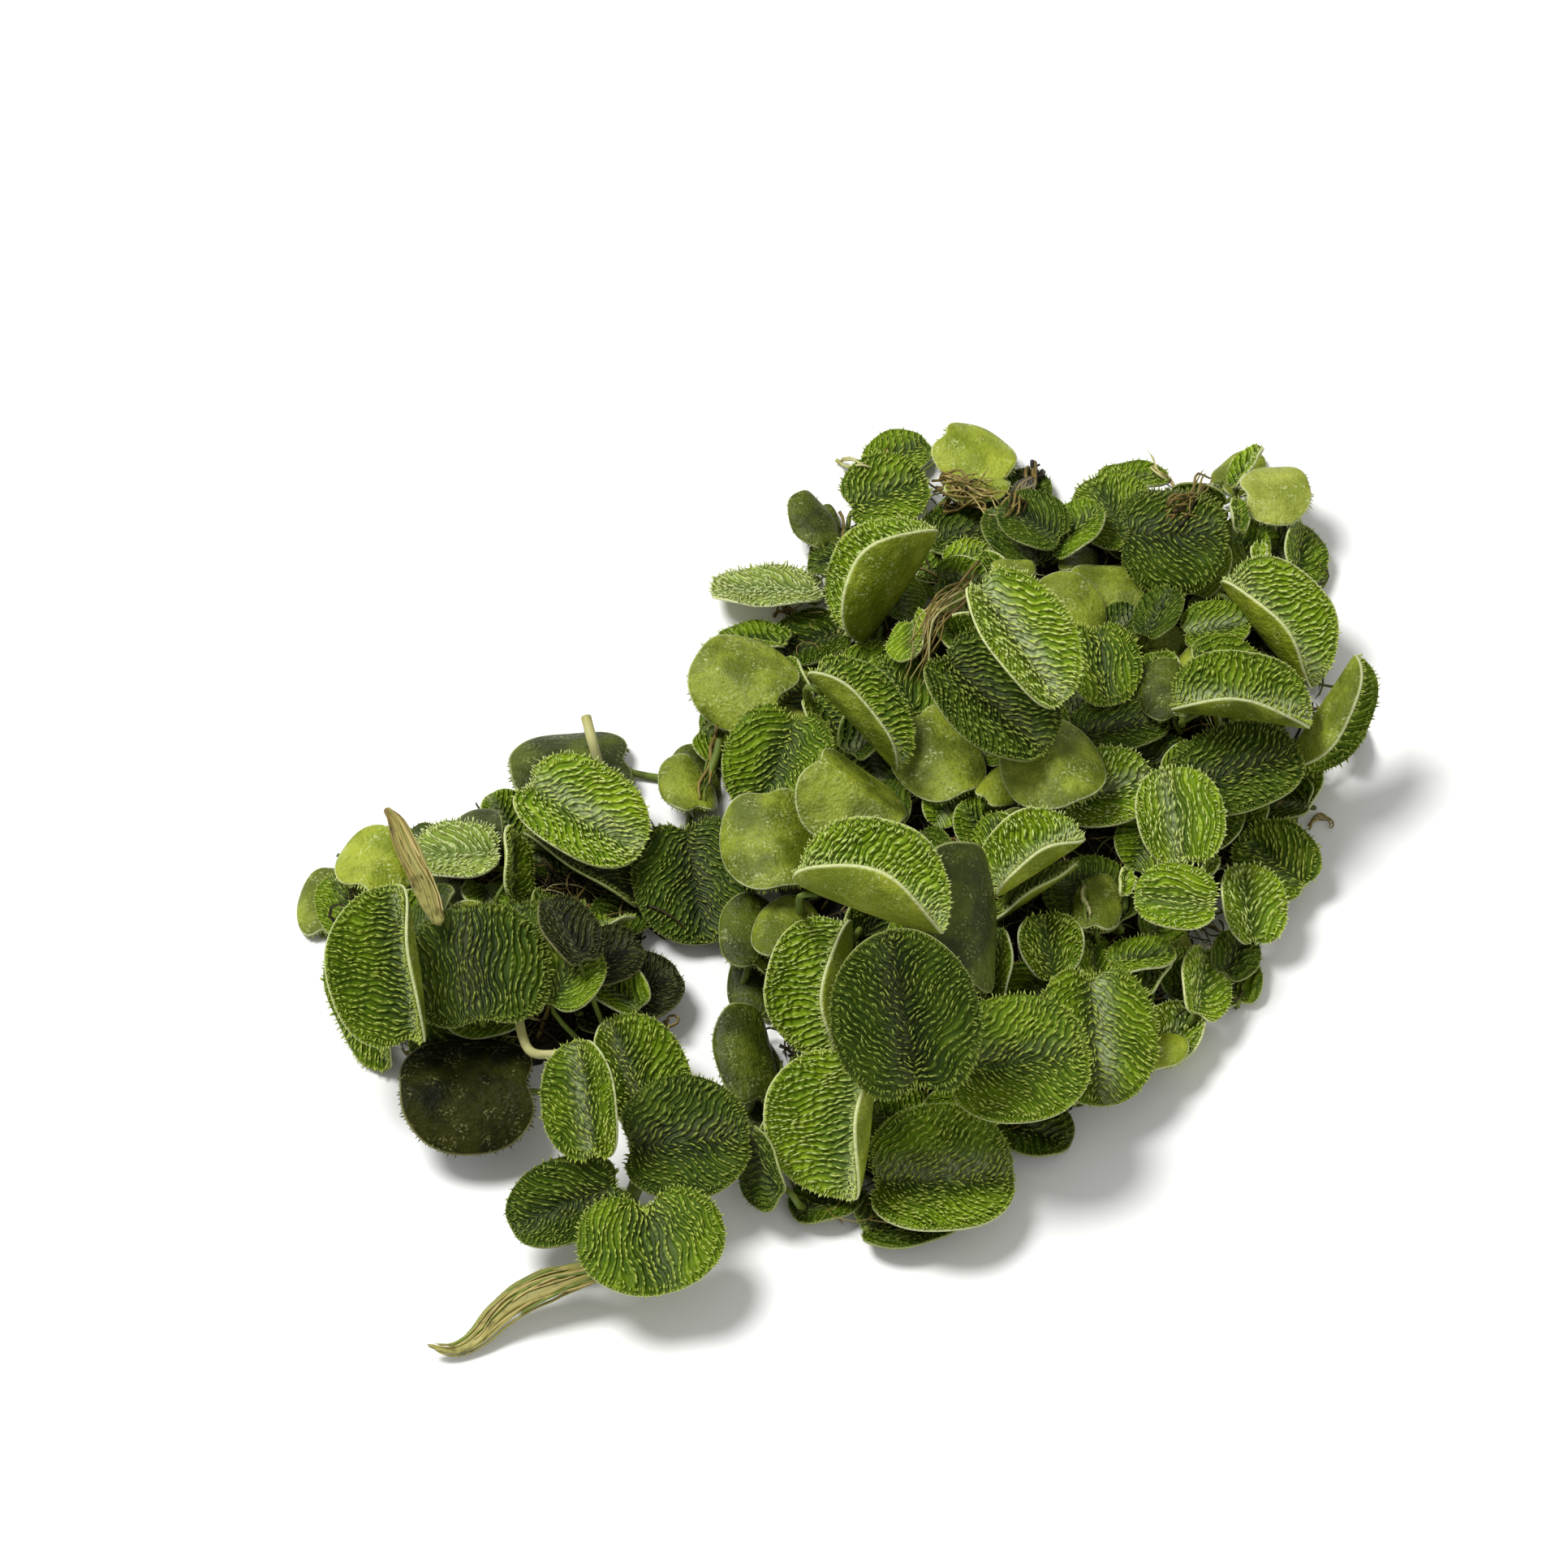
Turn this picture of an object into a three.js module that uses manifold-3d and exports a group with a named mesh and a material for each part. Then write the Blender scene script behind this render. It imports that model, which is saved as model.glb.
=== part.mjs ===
// A loose heap of eared watermoss, a floating fern, picked and laid on a table: cupped leaves with a crease
// along the middle, over two mats of tangled roots and stems. Millimetres, +Z up, and the viewer of the
// picture that it was measured from stands on the -Y side and looks down.
import * as THREE from "three";
import { mergeVertices } from "three/addons/utils/BufferGeometryUtils.js";
import Module from "manifold-3d";

const wasm = await Module();
wasm.setup();

// The view that the leaves were measured in
const VIEW_ELEVATION = 55; // degrees above the table
const VIEW_DISTANCE = 900;
const PIXELS_PER_MM = 13;
const PICTURE_MIDDLE = 966; // pixels, across and down
const MAT_MIDDLE_SEEN = { x: 1265, y: 1024 }; // where the picture shows the frame's origin

// Leaves
const BLADE_THICKNESS = 0.8;
const OUTLINE_POWER = 2.1; // 2 is an ellipse, and more is squarer
const BASE_NOTCH = 0.2; // share of the half length
const TIP_NOTCH = 0.05;
const RIM_WAVE = 0.15;
const RIM_WAVES = 5; // round the whole rim
const LEAF_GAP = 0.5; // between one leaf and what lies behind it
const LONG_LEAF = 10; // from this length a blade has more facets
const TABLE_GAP = 0.2; // under every leaf and strand
const STALK_RADIUS = 0.6;
const SMALL_LEAF_LIFT = 1; // of a fused leaf over the mat, towards the viewer

// Root mats, with flat undersides on the table: an oval's middle, its half sizes, how far its long way is
// turned from the Y axis, and how high it is before roots fill the hollows under the leaves
const MAIN_MAT = { x: 1, y: 1, acrossX: 20, acrossY: 40, turn: -24, height: 8 };
const LEFT_MAT = { x: -49, y: -15, acrossX: 14, acrossY: 13, turn: 0, height: 4 };
const MAT_HIGHEST = 18;
const MAT_GAP = 0.8; // under the lowest leaf above
const MAT_LOOKOUT = 6.5; // how far round a place of the mat a leaf holds it down
const MAT_LOBES = 7;
const LOBE_DEPTH = 0.04; // share of the mat's reach
const MAT_FULLNESS = 0.5; // below 1 the mat is domed and steep at its rim

// How finely pieces are tried against each other
const POINT_STEP = 0.4;
const SETTLING_PASSES = 5;
const MAT_RINGS = 6;
const MAT_SECTORS = 27;
const STRAND_STEP = 1.8; // along a stem or root
const WELD = 0.05; // edges shorter than this are closed up where fused pieces cross

// Each leaf as the picture shows it. seenX and seenY are its middle in pixels. The midrib runs from base to
// tip in the direction heading, with 0 to the right and 90 up the picture. The upper face is turned from the
// viewer by tilt, in the direction lean. Each half is folded up by fold at the crease and curls up by curl
// more on the way to its rim, and arch bends the midrib up towards both ends. Leaves are listed from the
// ones that lie deepest.
const LEAVES = [
  // the cluster at the left, and the spray at the bottom
  { name: "left_leaf_8", seenX: 442, seenY: 1240, heading: -66, tilt: 52, lean: 195,
    length: 13.4, width: 7, fold: 20 },
  { name: "left_leaf_4", seenX: 575, seenY: 1352, heading: 182, tilt: 148, lean: 268,
    length: 13.4, width: 13.6, fold: 6, curl: 34 },
  { name: "spray_leaf_1", seenX: 792, seenY: 1325, heading: 112, tilt: 26, lean: 24,
    length: 12.4, width: 10.6, fold: 32 },
  { name: "spray_leaf_4", seenX: 845, seenY: 1402, heading: 5, tilt: 24, lean: 90,
    length: 12.4, width: 12.6, fold: 12 },
  { name: "spray_leaf_3", seenX: 700, seenY: 1480, heading: 202, tilt: 28, lean: 90,
    length: 12, width: 9, fold: 15 },
  { name: "spray_leaf_5", seenX: 802, seenY: 1530, heading: 280, tilt: 24, lean: 90,
    length: 11, width: 13.6, fold: 12, curl: -14 },
  { name: "spray_leaf_2", seenX: 716, seenY: 1356, heading: 98, tilt: 24, lean: 190,
    length: 11.8, width: 9.4, fold: 36 },
  { name: "left_leaf_1", seenX: 703, seenY: 952, heading: 186, tilt: 142, lean: 268,
    length: 12.4, width: 10.6, fold: 6, curl: 26 },
  { name: "left_leaf_2", seenX: 464, seenY: 1062, heading: 60, tilt: 150, lean: 270,
    length: 7.8, width: 8.4, fold: 8, curl: 34 },
  { name: "left_leaf_3", seenX: 562, seenY: 1047, heading: 182, tilt: 48, lean: 92,
    length: 8.8, width: 8, fold: 10 },
  { name: "left_leaf_5", seenX: 855, seenY: 1085, heading: -80, tilt: 22, lean: 100,
    length: 13.4, width: 12, fold: 13 },
  { name: "left_leaf_6", seenX: 716, seenY: 1000, heading: -32, tilt: 34, lean: 66,
    length: 13.8, width: 11.6, fold: 20 },
  { name: "left_leaf_7", seenX: 588, seenY: 1190, heading: 95, tilt: 22, lean: 90,
    length: 12.8, width: 14, fold: 8, curl: -44 },
  { name: "left_boat", seenX: 464, seenY: 1190, heading: 98, tilt: 36, lean: 186,
    length: 16.2, width: 16, fold: 28, curl: 46, arch: 6 },
  // the back of the heap
  { name: "back_leaf_1", seenX: 1200, seenY: 560, heading: -30, tilt: 148, lean: 265,
    length: 8.6, width: 7.4, fold: 6, curl: 28 },
  { name: "back_leaf_2", seenX: 1091, seenY: 606, heading: 20, tilt: 26, lean: 90,
    length: 8.8, width: 8.4, fold: 14 },
  { name: "back_leaf_3", seenX: 945, seenY: 722, heading: 180, tilt: 64, lean: 90,
    length: 11.6, width: 9, fold: 8 },
  { name: "back_leaf_4", seenX: 1572, seenY: 610, heading: 10, tilt: 146, lean: 270,
    length: 7, width: 7.4, fold: 6, curl: 26 },
  { name: "back_leaf_5", seenX: 1372, seenY: 630, heading: 120, tilt: 26, lean: 95,
    length: 8.8, width: 8, fold: 14 },
  { name: "back_leaf_6", seenX: 1446, seenY: 667, heading: 0, tilt: 26, lean: 90,
    length: 10.8, width: 12, fold: 8, curl: -50 },
  { name: "back_boat", seenX: 1088, seenY: 717, heading: 55, tilt: 76, lean: 146,
    length: 14.4, width: 18, fold: 25, curl: 60, arch: 8 },
  // the right flank
  { name: "right_leaf_4", seenX: 1573, seenY: 1060, heading: 140, tilt: 24, lean: 80,
    length: 8.6, width: 8.2, fold: 10 },
  { name: "right_leaf_3", seenX: 1543, seenY: 1115, heading: 100, tilt: 26, lean: 40,
    length: 8.4, width: 7.6, fold: 30 },
  { name: "right_boat_1", seenX: 1575, seenY: 768, heading: -50, tilt: 52, lean: 40,
    length: 14.8, width: 15, fold: 25, curl: 55, arch: 6 },
  { name: "right_leaf_1", seenX: 1640, seenY: 878, heading: 56, tilt: 72, lean: -36,
    length: 13.4, width: 11.6, fold: 25, curl: 50 },
  { name: "right_leaf_2", seenX: 1525, seenY: 947, heading: 16, tilt: 30, lean: 90,
    length: 13, width: 9.8, fold: 14 },
  { name: "right_boat_2", seenX: 1529, seenY: 851, heading: -7, tilt: 54, lean: 84,
    length: 14, width: 12.8, fold: 25, curl: 48, arch: -8 },
  { name: "right_leaf_5", seenX: 1364, seenY: 970, heading: 15, tilt: 24, lean: 100,
    length: 9.6, width: 9, fold: 25 },
  { name: "right_leaf_6", seenX: 1453, seenY: 1006, heading: 100, tilt: 16, lean: 50,
    length: 10, width: 9.4, fold: 25 },
  { name: "right_leaf_7", seenX: 1448, seenY: 1105, heading: 174, tilt: 26, lean: 84,
    length: 8.2, width: 7, fold: 14 },
  // the middle
  { name: "middle_leaf_1", seenX: 1155, seenY: 928, heading: -60, tilt: 150, lean: 262,
    length: 10.6, width: 9.4, fold: 8, curl: 34 },
  { name: "middle_leaf_2", seenX: 1310, seenY: 752, heading: 80, tilt: 142, lean: 260,
    length: 9.4, width: 9.2, fold: 8, curl: 34 },
  { name: "middle_leaf_3", seenX: 1358, seenY: 820, heading: -80, tilt: 24, lean: 60,
    length: 8.8, width: 8, fold: 20 },
  { name: "middle_leaf_4", seenX: 1298, seenY: 940, heading: -60, tilt: 148, lean: 265,
    length: 10.2, width: 10.6, fold: 10, curl: 30 },
  { name: "middle_leaf_5", seenX: 1222, seenY: 858, heading: -45, tilt: 32, lean: 56,
    length: 14.6, width: 12.4, fold: 30, curl: -24 },
  { name: "middle_leaf_6", seenX: 1260, seenY: 787, heading: -56, tilt: 36, lean: 36,
    length: 15, width: 11.4, fold: 36, curl: -12 },
  { name: "middle_boat_1", seenX: 1273, seenY: 1050, heading: 33, tilt: 52, lean: 124,
    length: 10.6, width: 11.4, fold: 25, curl: 55 },
  { name: "middle_cup_1", seenX: 1294, seenY: 1168, heading: 96, tilt: 24, lean: 86,
    length: 7.6, width: 8.6, fold: 34, curl: 22, arch: 16 },
  // the left side of the main heap
  { name: "left_flank_1", seenX: 916, seenY: 840, heading: 150, tilt: 150, lean: 268,
    length: 10.4, width: 11.2, fold: 8, curl: 34 },
  { name: "left_flank_2", seenX: 958, seenY: 938, heading: -110, tilt: 24, lean: 100,
    length: 12, width: 10.6, fold: 15 },
  { name: "left_flank_boat", seenX: 1060, seenY: 880, heading: -47, tilt: 62, lean: 43,
    length: 13.4, width: 11.2, fold: 25, curl: 55 },
  { name: "front_leaf_1", seenX: 1174, seenY: 1131, heading: 92, tilt: 138, lean: 192,
    length: 15, width: 12.4, fold: 10, curl: 32 },
  { name: "left_flank_3", seenX: 951, seenY: 1034, heading: -80, tilt: 150, lean: 262,
    length: 11.4, width: 11, fold: 10, curl: 36 },
  { name: "left_flank_4", seenX: 1050, seenY: 984, heading: -38, tilt: 140, lean: 240,
    length: 11, width: 12.4, fold: 32, curl: 8 },
  { name: "front_boat_1", seenX: 1073, seenY: 1080, heading: -20, tilt: 62, lean: 72,
    length: 16, width: 18.6, fold: 25, curl: 60, arch: 6 },
  // the front
  { name: "right_cup_1", seenX: 1445, seenY: 1275, heading: 60, tilt: 24, lean: 110,
    length: 7.6, width: 8.4, fold: 35, curl: 25, arch: 20 },
  { name: "right_leaf_8", seenX: 1352, seenY: 1278, heading: -86, tilt: 20, lean: 50,
    length: 14, width: 11.8, fold: 28, curl: -30 },
  { name: "front_leaf_4", seenX: 1160, seenY: 1437, heading: 2, tilt: 24, lean: 86,
    length: 14.4, width: 14.6, fold: 26, curl: 8 },
  { name: "front_leaf_2", seenX: 1255, seenY: 1305, heading: 5, tilt: 22, lean: 90,
    length: 14, width: 12.8, fold: 18, curl: -14 },
  { name: "front_boat_2", seenX: 996, seenY: 1220, heading: 265, tilt: 53, lean: 175,
    length: 14.6, width: 16, fold: 25, curl: 60, arch: 6 },
  { name: "front_boat_3", seenX: 1010, seenY: 1386, heading: 264, tilt: 42, lean: 174,
    length: 14.8, width: 18.6, fold: 22, curl: 58, arch: 6 },
  { name: "front_leaf_3", seenX: 1116, seenY: 1250, heading: 99, tilt: 16, lean: 265,
    length: 17, width: 14.4, fold: 32, curl: -30 },
];

// Smaller leaves at the mats' rims, each fused to the mat that it grows from
const MAIN_MAT_LEAVES = [
  // the back
  { seenX: 1105, seenY: 566, heading: 30, tilt: 36, lean: 85, length: 7.5, width: 6 },
  { seenX: 1265, seenY: 612, heading: 80, tilt: 34, lean: 80, length: 6.6, width: 5 },
  { seenX: 1040, seenY: 682, heading: 170, tilt: 146, lean: 270, length: 7, width: 6 },
  { seenX: 1395, seenY: 592, heading: 5, tilt: 50, lean: 90, length: 7.4, width: 4.5 },
  { seenX: 1526, seenY: 580, heading: 40, tilt: 144, lean: 270, length: 6.2, width: 4.6 },
  { seenX: 1600, seenY: 684, heading: 80, tilt: 50, lean: 30, length: 7.6, width: 6 },
  { seenX: 1530, seenY: 672, heading: 120, tilt: 36, lean: 80, length: 6.6, width: 5.4 },
  // the right flank
  { seenX: 1602, seenY: 975, heading: 70, tilt: 44, lean: 130, length: 6.6, width: 5.6 },
  { seenX: 1516, seenY: 1206, heading: 110, tilt: 34, lean: 80, length: 7.2, width: 6 },
  // the front and the left flank
  { seenX: 856, seenY: 957, heading: 100, tilt: 146, lean: 268, length: 7.6, width: 5.6 },
  { seenX: 932, seenY: 1212, heading: 90, tilt: 148, lean: 250, length: 8.6, width: 5.6 },
  { seenX: 936, seenY: 1352, heading: 95, tilt: 148, lean: 250, length: 13, width: 6.6 },
  { seenX: 1118, seenY: 1506, heading: 10, tilt: 42, lean: 90, length: 10.4, width: 8 },
  { seenX: 1020, seenY: 1480, heading: 200, tilt: 40, lean: 95, length: 7.6, width: 6 },
  { seenX: 1266, seenY: 1392, heading: -20, tilt: 40, lean: 90, length: 9, width: 7.5 },
];
const LEFT_MAT_LEAVES = [
  { seenX: 432, seenY: 1120, heading: 110, tilt: 36, lean: 110, length: 9, width: 6.6 },
  { seenX: 402, seenY: 1112, heading: 85, tilt: 142, lean: 268, length: 8.6, width: 6 },
  { seenX: 577, seenY: 1030, heading: 180, tilt: 142, lean: 270, length: 7.2, width: 5.6 },
  { seenX: 570, seenY: 1286, heading: 190, tilt: 36, lean: 90, length: 10.4, width: 8 },
  { seenX: 768, seenY: 1228, heading: 20, tilt: 36, lean: 90, length: 12, width: 8.6, fold: 12 },
];

// Stems and long roots. Each runs through the picture's points [x, y, how far towards the viewer], in pixels
// and millimetres, with a flattened section of the given width and thickness. Each is laid just before the
// leaf that it is under.
const STRANDS = [
  { name: "left_stem_end", width: 1, thick: 0.9, under: "left_leaf_6",
    seen: [[722, 882, 0], [730, 912, 1], [739, 944, 0]] },
  { name: "left_stem", width: 0.9, thick: 0.9, under: "spray_leaf_1",
    seen: [[639, 1252, 0], [646, 1282, 0.5], [657, 1298, 0.8], [680, 1300, 0.5], [706, 1294, 0]] },
  { name: "flank_stem", width: 0.8, thick: 0.8, under: "left_leaf_5",
    seen: [[889, 893, -3.4], [884, 925, -2.2], [872, 960, -1], [861, 1002, 0]] },
  { name: "left_root", width: 2.6, thick: 1.2, under: "left_boat",
    seen: [[475, 996, -5], [487, 1012, -3.6], [501, 1042, -1.8], [516, 1076, -0.8], [529, 1106, -0.3],
      [542, 1134, 0]] },
  { name: "spray_stem", width: 1.5, thick: 1.5, under: "left_leaf_8",
    seen: [[779, 1432, 1], [786, 1452, 0.6], [778, 1476, 0.2], [780, 1508, 0]] },
  { name: "spray_root", width: 2.8, thick: 1.1, under: "left_leaf_8",
    seen: [[738, 1566, 0.6], [705, 1575, 0.4], [675, 1584, 0.2], [641, 1600, 0.2], [613, 1622, 0.2],
      [590, 1646, 0.4], [562, 1660, 0.9], [531, 1653, 1.8]] },
];

const COLOURS = {
  upper: "#5f7f24",
  under: "#8d9d36",
  mat: "#2c3112",
  stem: "#b9b77a",
  root: "#7a6a35",
};

const radians = THREE.MathUtils.degToRad;

// The viewer's frame: x to the right, y up the picture, z towards the viewer, from the point of the table
// in the middle of the picture.
const rise = Math.sin(radians(VIEW_ELEVATION));
const run = Math.cos(radians(VIEW_ELEVATION));
const matMiddle = measured(MAT_MIDDLE_SEEN.x, MAT_MIDDLE_SEEN.y);
const view = new THREE.Group();
view.position.set(-matMiddle.x, -matMiddle.y / rise, 0);
view.rotation.x = radians(90 - VIEW_ELEVATION);
view.updateMatrixWorld();

// A pixel of the picture, in millimetres from the picture's middle.
function measured(seenX, seenY) {
  return new THREE.Vector2(seenX - PICTURE_MIDDLE, PICTURE_MIDDLE - seenY).divideScalar(PIXELS_PER_MM);
}

// The point of the viewer's frame that is seen at a pixel and lies at a depth towards the viewer.
function placeSeen(seenX, seenY, depth) {
  const flat = measured(seenX, seenY).multiplyScalar(1 - depth / VIEW_DISTANCE);
  return new THREE.Vector3(flat.x, flat.y, depth);
}

// Where an arc ends that starts level and straight on, has a length and turns up evenly by an angle.
function arcEnd(start, turn, length) {
  if (Math.abs(turn) < 1e-6) {
    return { over: length * Math.cos(start), up: length * Math.sin(start) };
  }
  const radius = length / turn;
  return {
    over: radius * (Math.sin(start + turn) - Math.sin(start)),
    up: radius * (Math.cos(start) - Math.cos(start + turn)),
  };
}

// How far the rim reaches in a direction from the blade's middle, as a share of the half length or width.
function rimReach(angle) {
  const across = Math.abs(Math.sin(angle)) ** OUTLINE_POWER;
  const along = Math.abs(Math.cos(angle)) ** OUTLINE_POWER;
  const fromTip = Math.abs(angle);
  const fromBase = Math.PI - fromTip;
  const baseNotch = BASE_NOTCH * Math.exp(-((fromBase / 0.4) ** 2));
  const tipNotch = TIP_NOTCH * Math.exp(-((fromTip / 0.3) ** 2));
  return (along + across) ** (-1 / OUTLINE_POWER) * (1 - baseNotch - tipNotch);
}

// A place on a disc of radius 1, from a place on a square grid that runs from -1 to 1 both ways.
function onDisc(gridX, gridY) {
  return [gridX * Math.sqrt(1 - gridY ** 2 / 2), gridY * Math.sqrt(1 - gridX ** 2 / 2)];
}

// A point of the middle of the blade, from its place on the disc. x runs along the midrib, y across it and z
// out of the upper face.
function bladePoint(leaf, discX, discY) {
  const fromMiddle = Math.hypot(discX, discY);
  const angle = Math.atan2(discY, discX);
  const swell = 1 + (rimReach(angle) - 1) * fromMiddle ** 2;
  const along = discX * swell * leaf.length / 2;
  const across = Math.abs(discY * swell);
  const curl = radians(leaf.curl ?? 0) * across;
  const half = arcEnd(radians(leaf.fold ?? 0), curl, across * leaf.width / 2);
  const wave = RIM_WAVE * fromMiddle ** 3 * Math.sin(RIM_WAVES * angle + leaf.length * leaf.width);
  const bend = radians(leaf.arch ?? 0) * 2 * along / leaf.length;
  const spine = arcEnd(0, bend, along);
  const lift = half.up + wave;
  return new THREE.Vector3(
    spine.over - lift * Math.sin(bend),
    half.over * Math.sign(discY),
    spine.up + lift * Math.cos(bend),
  );
}

// The blade as a closed shell: a flat box, with its faces parted along and across, bent to the blade's form.
function bladeGeometry(leaf, partsAlong, partsAcross) {
  const box = new THREE.BoxGeometry(2, 2, BLADE_THICKNESS, partsAlong, partsAcross, 1);
  const places = box.getAttribute("position");
  const step = 0.02;
  for (let i = 0; i < places.count; i += 1) {
    const [x, y] = onDisc(places.getX(i), places.getY(i));
    const along = bladePoint(leaf, x + step, y).sub(bladePoint(leaf, x - step, y));
    const across = bladePoint(leaf, x, y + step).sub(bladePoint(leaf, x, y - step));
    const out = along.cross(across).setLength(places.getZ(i));
    places.setXYZ(i, ...bladePoint(leaf, x, y).add(out));
  }
  return bare(box);
}

// A geometry with only its corners and faces, its shared corners joined.
function bare(geometry) {
  geometry.deleteAttribute("normal");
  geometry.deleteAttribute("uv");
  return mergeVertices(geometry, 1e-4);
}

function solidOf(geometry) {
  const mesh = new wasm.Mesh({
    numProp: 3,
    vertProperties: geometry.getAttribute("position").array,
    triVerts: new Uint32Array(geometry.index.array),
  });
  return new wasm.Manifold(mesh);
}

function geometryOf(solid) {
  const mesh = solid.getMesh();
  const geometry = new THREE.BufferGeometry();
  geometry.setAttribute("position", new THREE.BufferAttribute(mesh.vertProperties, 3));
  geometry.setIndex(new THREE.BufferAttribute(mesh.triVerts, 1));
  return geometry;
}

function finished(name, geometry, colour) {
  geometry.computeVertexNormals();
  const material = new THREE.MeshStandardMaterial({ color: colour, roughness: 0.5, metalness: 0 });
  const mesh = new THREE.Mesh(geometry, material);
  mesh.name = name;
  return mesh;
}

// The turn that lays a blade as the picture shows it.
function seenTurn(leaf) {
  const tilt = radians(leaf.tilt);
  const lean = radians(leaf.lean);
  const heading = radians(leaf.heading);
  const face = new THREE.Vector3(
    Math.sin(tilt) * Math.cos(lean), Math.sin(tilt) * Math.sin(lean), Math.cos(tilt),
  );
  const midrib = new THREE.Vector3(Math.cos(heading), Math.sin(heading), 0);
  midrib.z = -(midrib.x * face.x + midrib.y * face.y) / face.z;
  midrib.normalize();
  const side = new THREE.Vector3().crossVectors(face, midrib);
  return new THREE.Matrix4().makeBasis(midrib, side, face);
}

// How high above the table a point of the viewer's frame lies.
function heightOf(point) {
  return point.y * run + point.z * rise;
}

// The nearest surfaces so far, as the viewer sees them: a square grid of depths.
class Sight {
  constructor() {
    this.cell = 0.5;
    this.reach = 80;
    this.columns = Math.ceil(2 * this.reach / this.cell);
    this.depths = new Float32Array(this.columns ** 2).fill(-Infinity);
  }

  // The grid's cell in which a point of the viewer's frame is seen.
  cellOf(point) {
    const scale = 1 / (1 - point.z / VIEW_DISTANCE);
    const column = Math.floor((point.x * scale + this.reach) / this.cell);
    const row = Math.floor((point.y * scale + this.reach) / this.cell);
    return row * this.columns + column;
  }

  // Adds a surface, a cell wider all round.
  cover(points) {
    for (const point of points) {
      const middle = this.cellOf(point);
      for (const row of [-1, 0, 1]) {
        for (const column of [-1, 0, 1]) {
          const cell = middle + row * this.columns + column;
          this.depths[cell] = Math.max(this.depths[cell], point.z);
        }
      }
    }
  }

  // How far points must move towards the viewer to clear the table and every surface behind them.
  shortfall(points) {
    let most = -Infinity;
    for (const point of points) {
      const toTable = (TABLE_GAP - heightOf(point)) / rise;
      const toSurface = this.depths[this.cellOf(point)] + LEAF_GAP - point.z;
      most = Math.max(most, toTable, toSurface);
    }
    return most;
  }
}

// Points spread over a geometry's faces, less than a grid cell apart.
function surfacePoints(geometry, matrix) {
  const places = geometry.getAttribute("position");
  const order = geometry.index.array;
  const corner = (i) => new THREE.Vector3().fromBufferAttribute(places, order[i]).applyMatrix4(matrix);
  const points = [];
  for (let i = 0; i < order.length; i += 3) {
    const [a, b, c] = [corner(i), corner(i + 1), corner(i + 2)];
    const steps = Math.ceil(Math.max(a.distanceTo(b), b.distanceTo(c), c.distanceTo(a)) / POINT_STEP);
    const toB = b.sub(a).divideScalar(steps);
    const toC = c.sub(a).divideScalar(steps);
    for (let j = 0; j <= steps; j += 1) {
      for (let k = 0; k <= steps - j; k += 1) {
        points.push(a.clone().addScaledVector(toB, j).addScaledVector(toC, k));
      }
    }
  }
  return points;
}

// Moves a mesh along the line on which its middle is seen until it rests on what lies behind it.
function settle(mesh, seenX, seenY, sight) {
  const middle = new THREE.Box3().setFromObject(mesh, true).getCenter(new THREE.Vector3()).setZ(0);
  let depth = 0;
  for (let pass = 0; pass <= SETTLING_PASSES; pass += 1) {
    mesh.position.copy(placeSeen(seenX, seenY, depth)).sub(middle);
    mesh.updateMatrix();
    depth += sight.shortfall(surfacePoints(mesh.geometry, mesh.matrix));
  }
  sight.cover(surfacePoints(mesh.geometry, mesh.matrix));
}

// How far a mat reaches from its middle in a direction, as a share of its plain oval.
function matReach(angle) {
  return 1 + LOBE_DEPTH * Math.sin(MAT_LOBES * angle);
}

// The height of a mat's top before its hollows are filled, below zero outside it.
function matHeight(mat, x, y) {
  const place = new THREE.Vector2(x - mat.x, y - mat.y).rotateAround(new THREE.Vector2(), -radians(mat.turn));
  const [across, along] = [place.x / mat.acrossX, place.y / mat.acrossY];
  const share = Math.hypot(across, along) / matReach(Math.atan2(along, across));
  return share < 1 ? mat.height * (1 - share ** 2) ** MAT_FULLNESS : -1;
}

// A mat of roots and stems over a flat underside on the table, whose top fills the hollows under the leaves.
function matGeometry(mat, leafPoints) {
  const profile = [new THREE.Vector2(0, 0), new THREE.Vector2(1, 0)];
  for (let ring = 1; ring <= MAT_RINGS; ring += 1) {
    const angle = ring / MAT_RINGS * Math.PI / 2;
    profile.push(new THREE.Vector2(Math.cos(angle), Math.sin(angle)));
  }
  const dome = bare(new THREE.LatheGeometry(profile, MAT_SECTORS));
  dome.rotateX(Math.PI / 2);
  const places = dome.getAttribute("position");
  for (let i = 0; i < places.count; i += 1) {
    const reach = matReach(Math.atan2(places.getY(i), places.getX(i)));
    const place = new THREE.Vector2(places.getX(i) * mat.acrossX, places.getY(i) * mat.acrossY);
    place.multiplyScalar(reach).rotateAround(new THREE.Vector2(), radians(mat.turn));
    const [x, y] = [place.x + mat.x, place.y + mat.y];
    const height = places.getZ(i) > 0.01 ? filledHeight(mat, x, y, leafPoints) : 0;
    places.setXYZ(i, x, y, height);
  }
  return dome;
}

// How high roots fill a place of the mat: up to the lowest leaf round it.
function filledHeight(mat, x, y, leafPoints) {
  const plain = Math.max(0.5, matHeight(mat, x, y));
  let lowest = Infinity;
  for (const point of leafPoints) {
    if (Math.hypot(point.x - x, point.y - y) < MAT_LOOKOUT) lowest = Math.min(lowest, point.z);
  }
  if (lowest === Infinity) return plain;
  return THREE.MathUtils.clamp(lowest - MAT_GAP, plain, MAT_HIGHEST);
}

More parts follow.
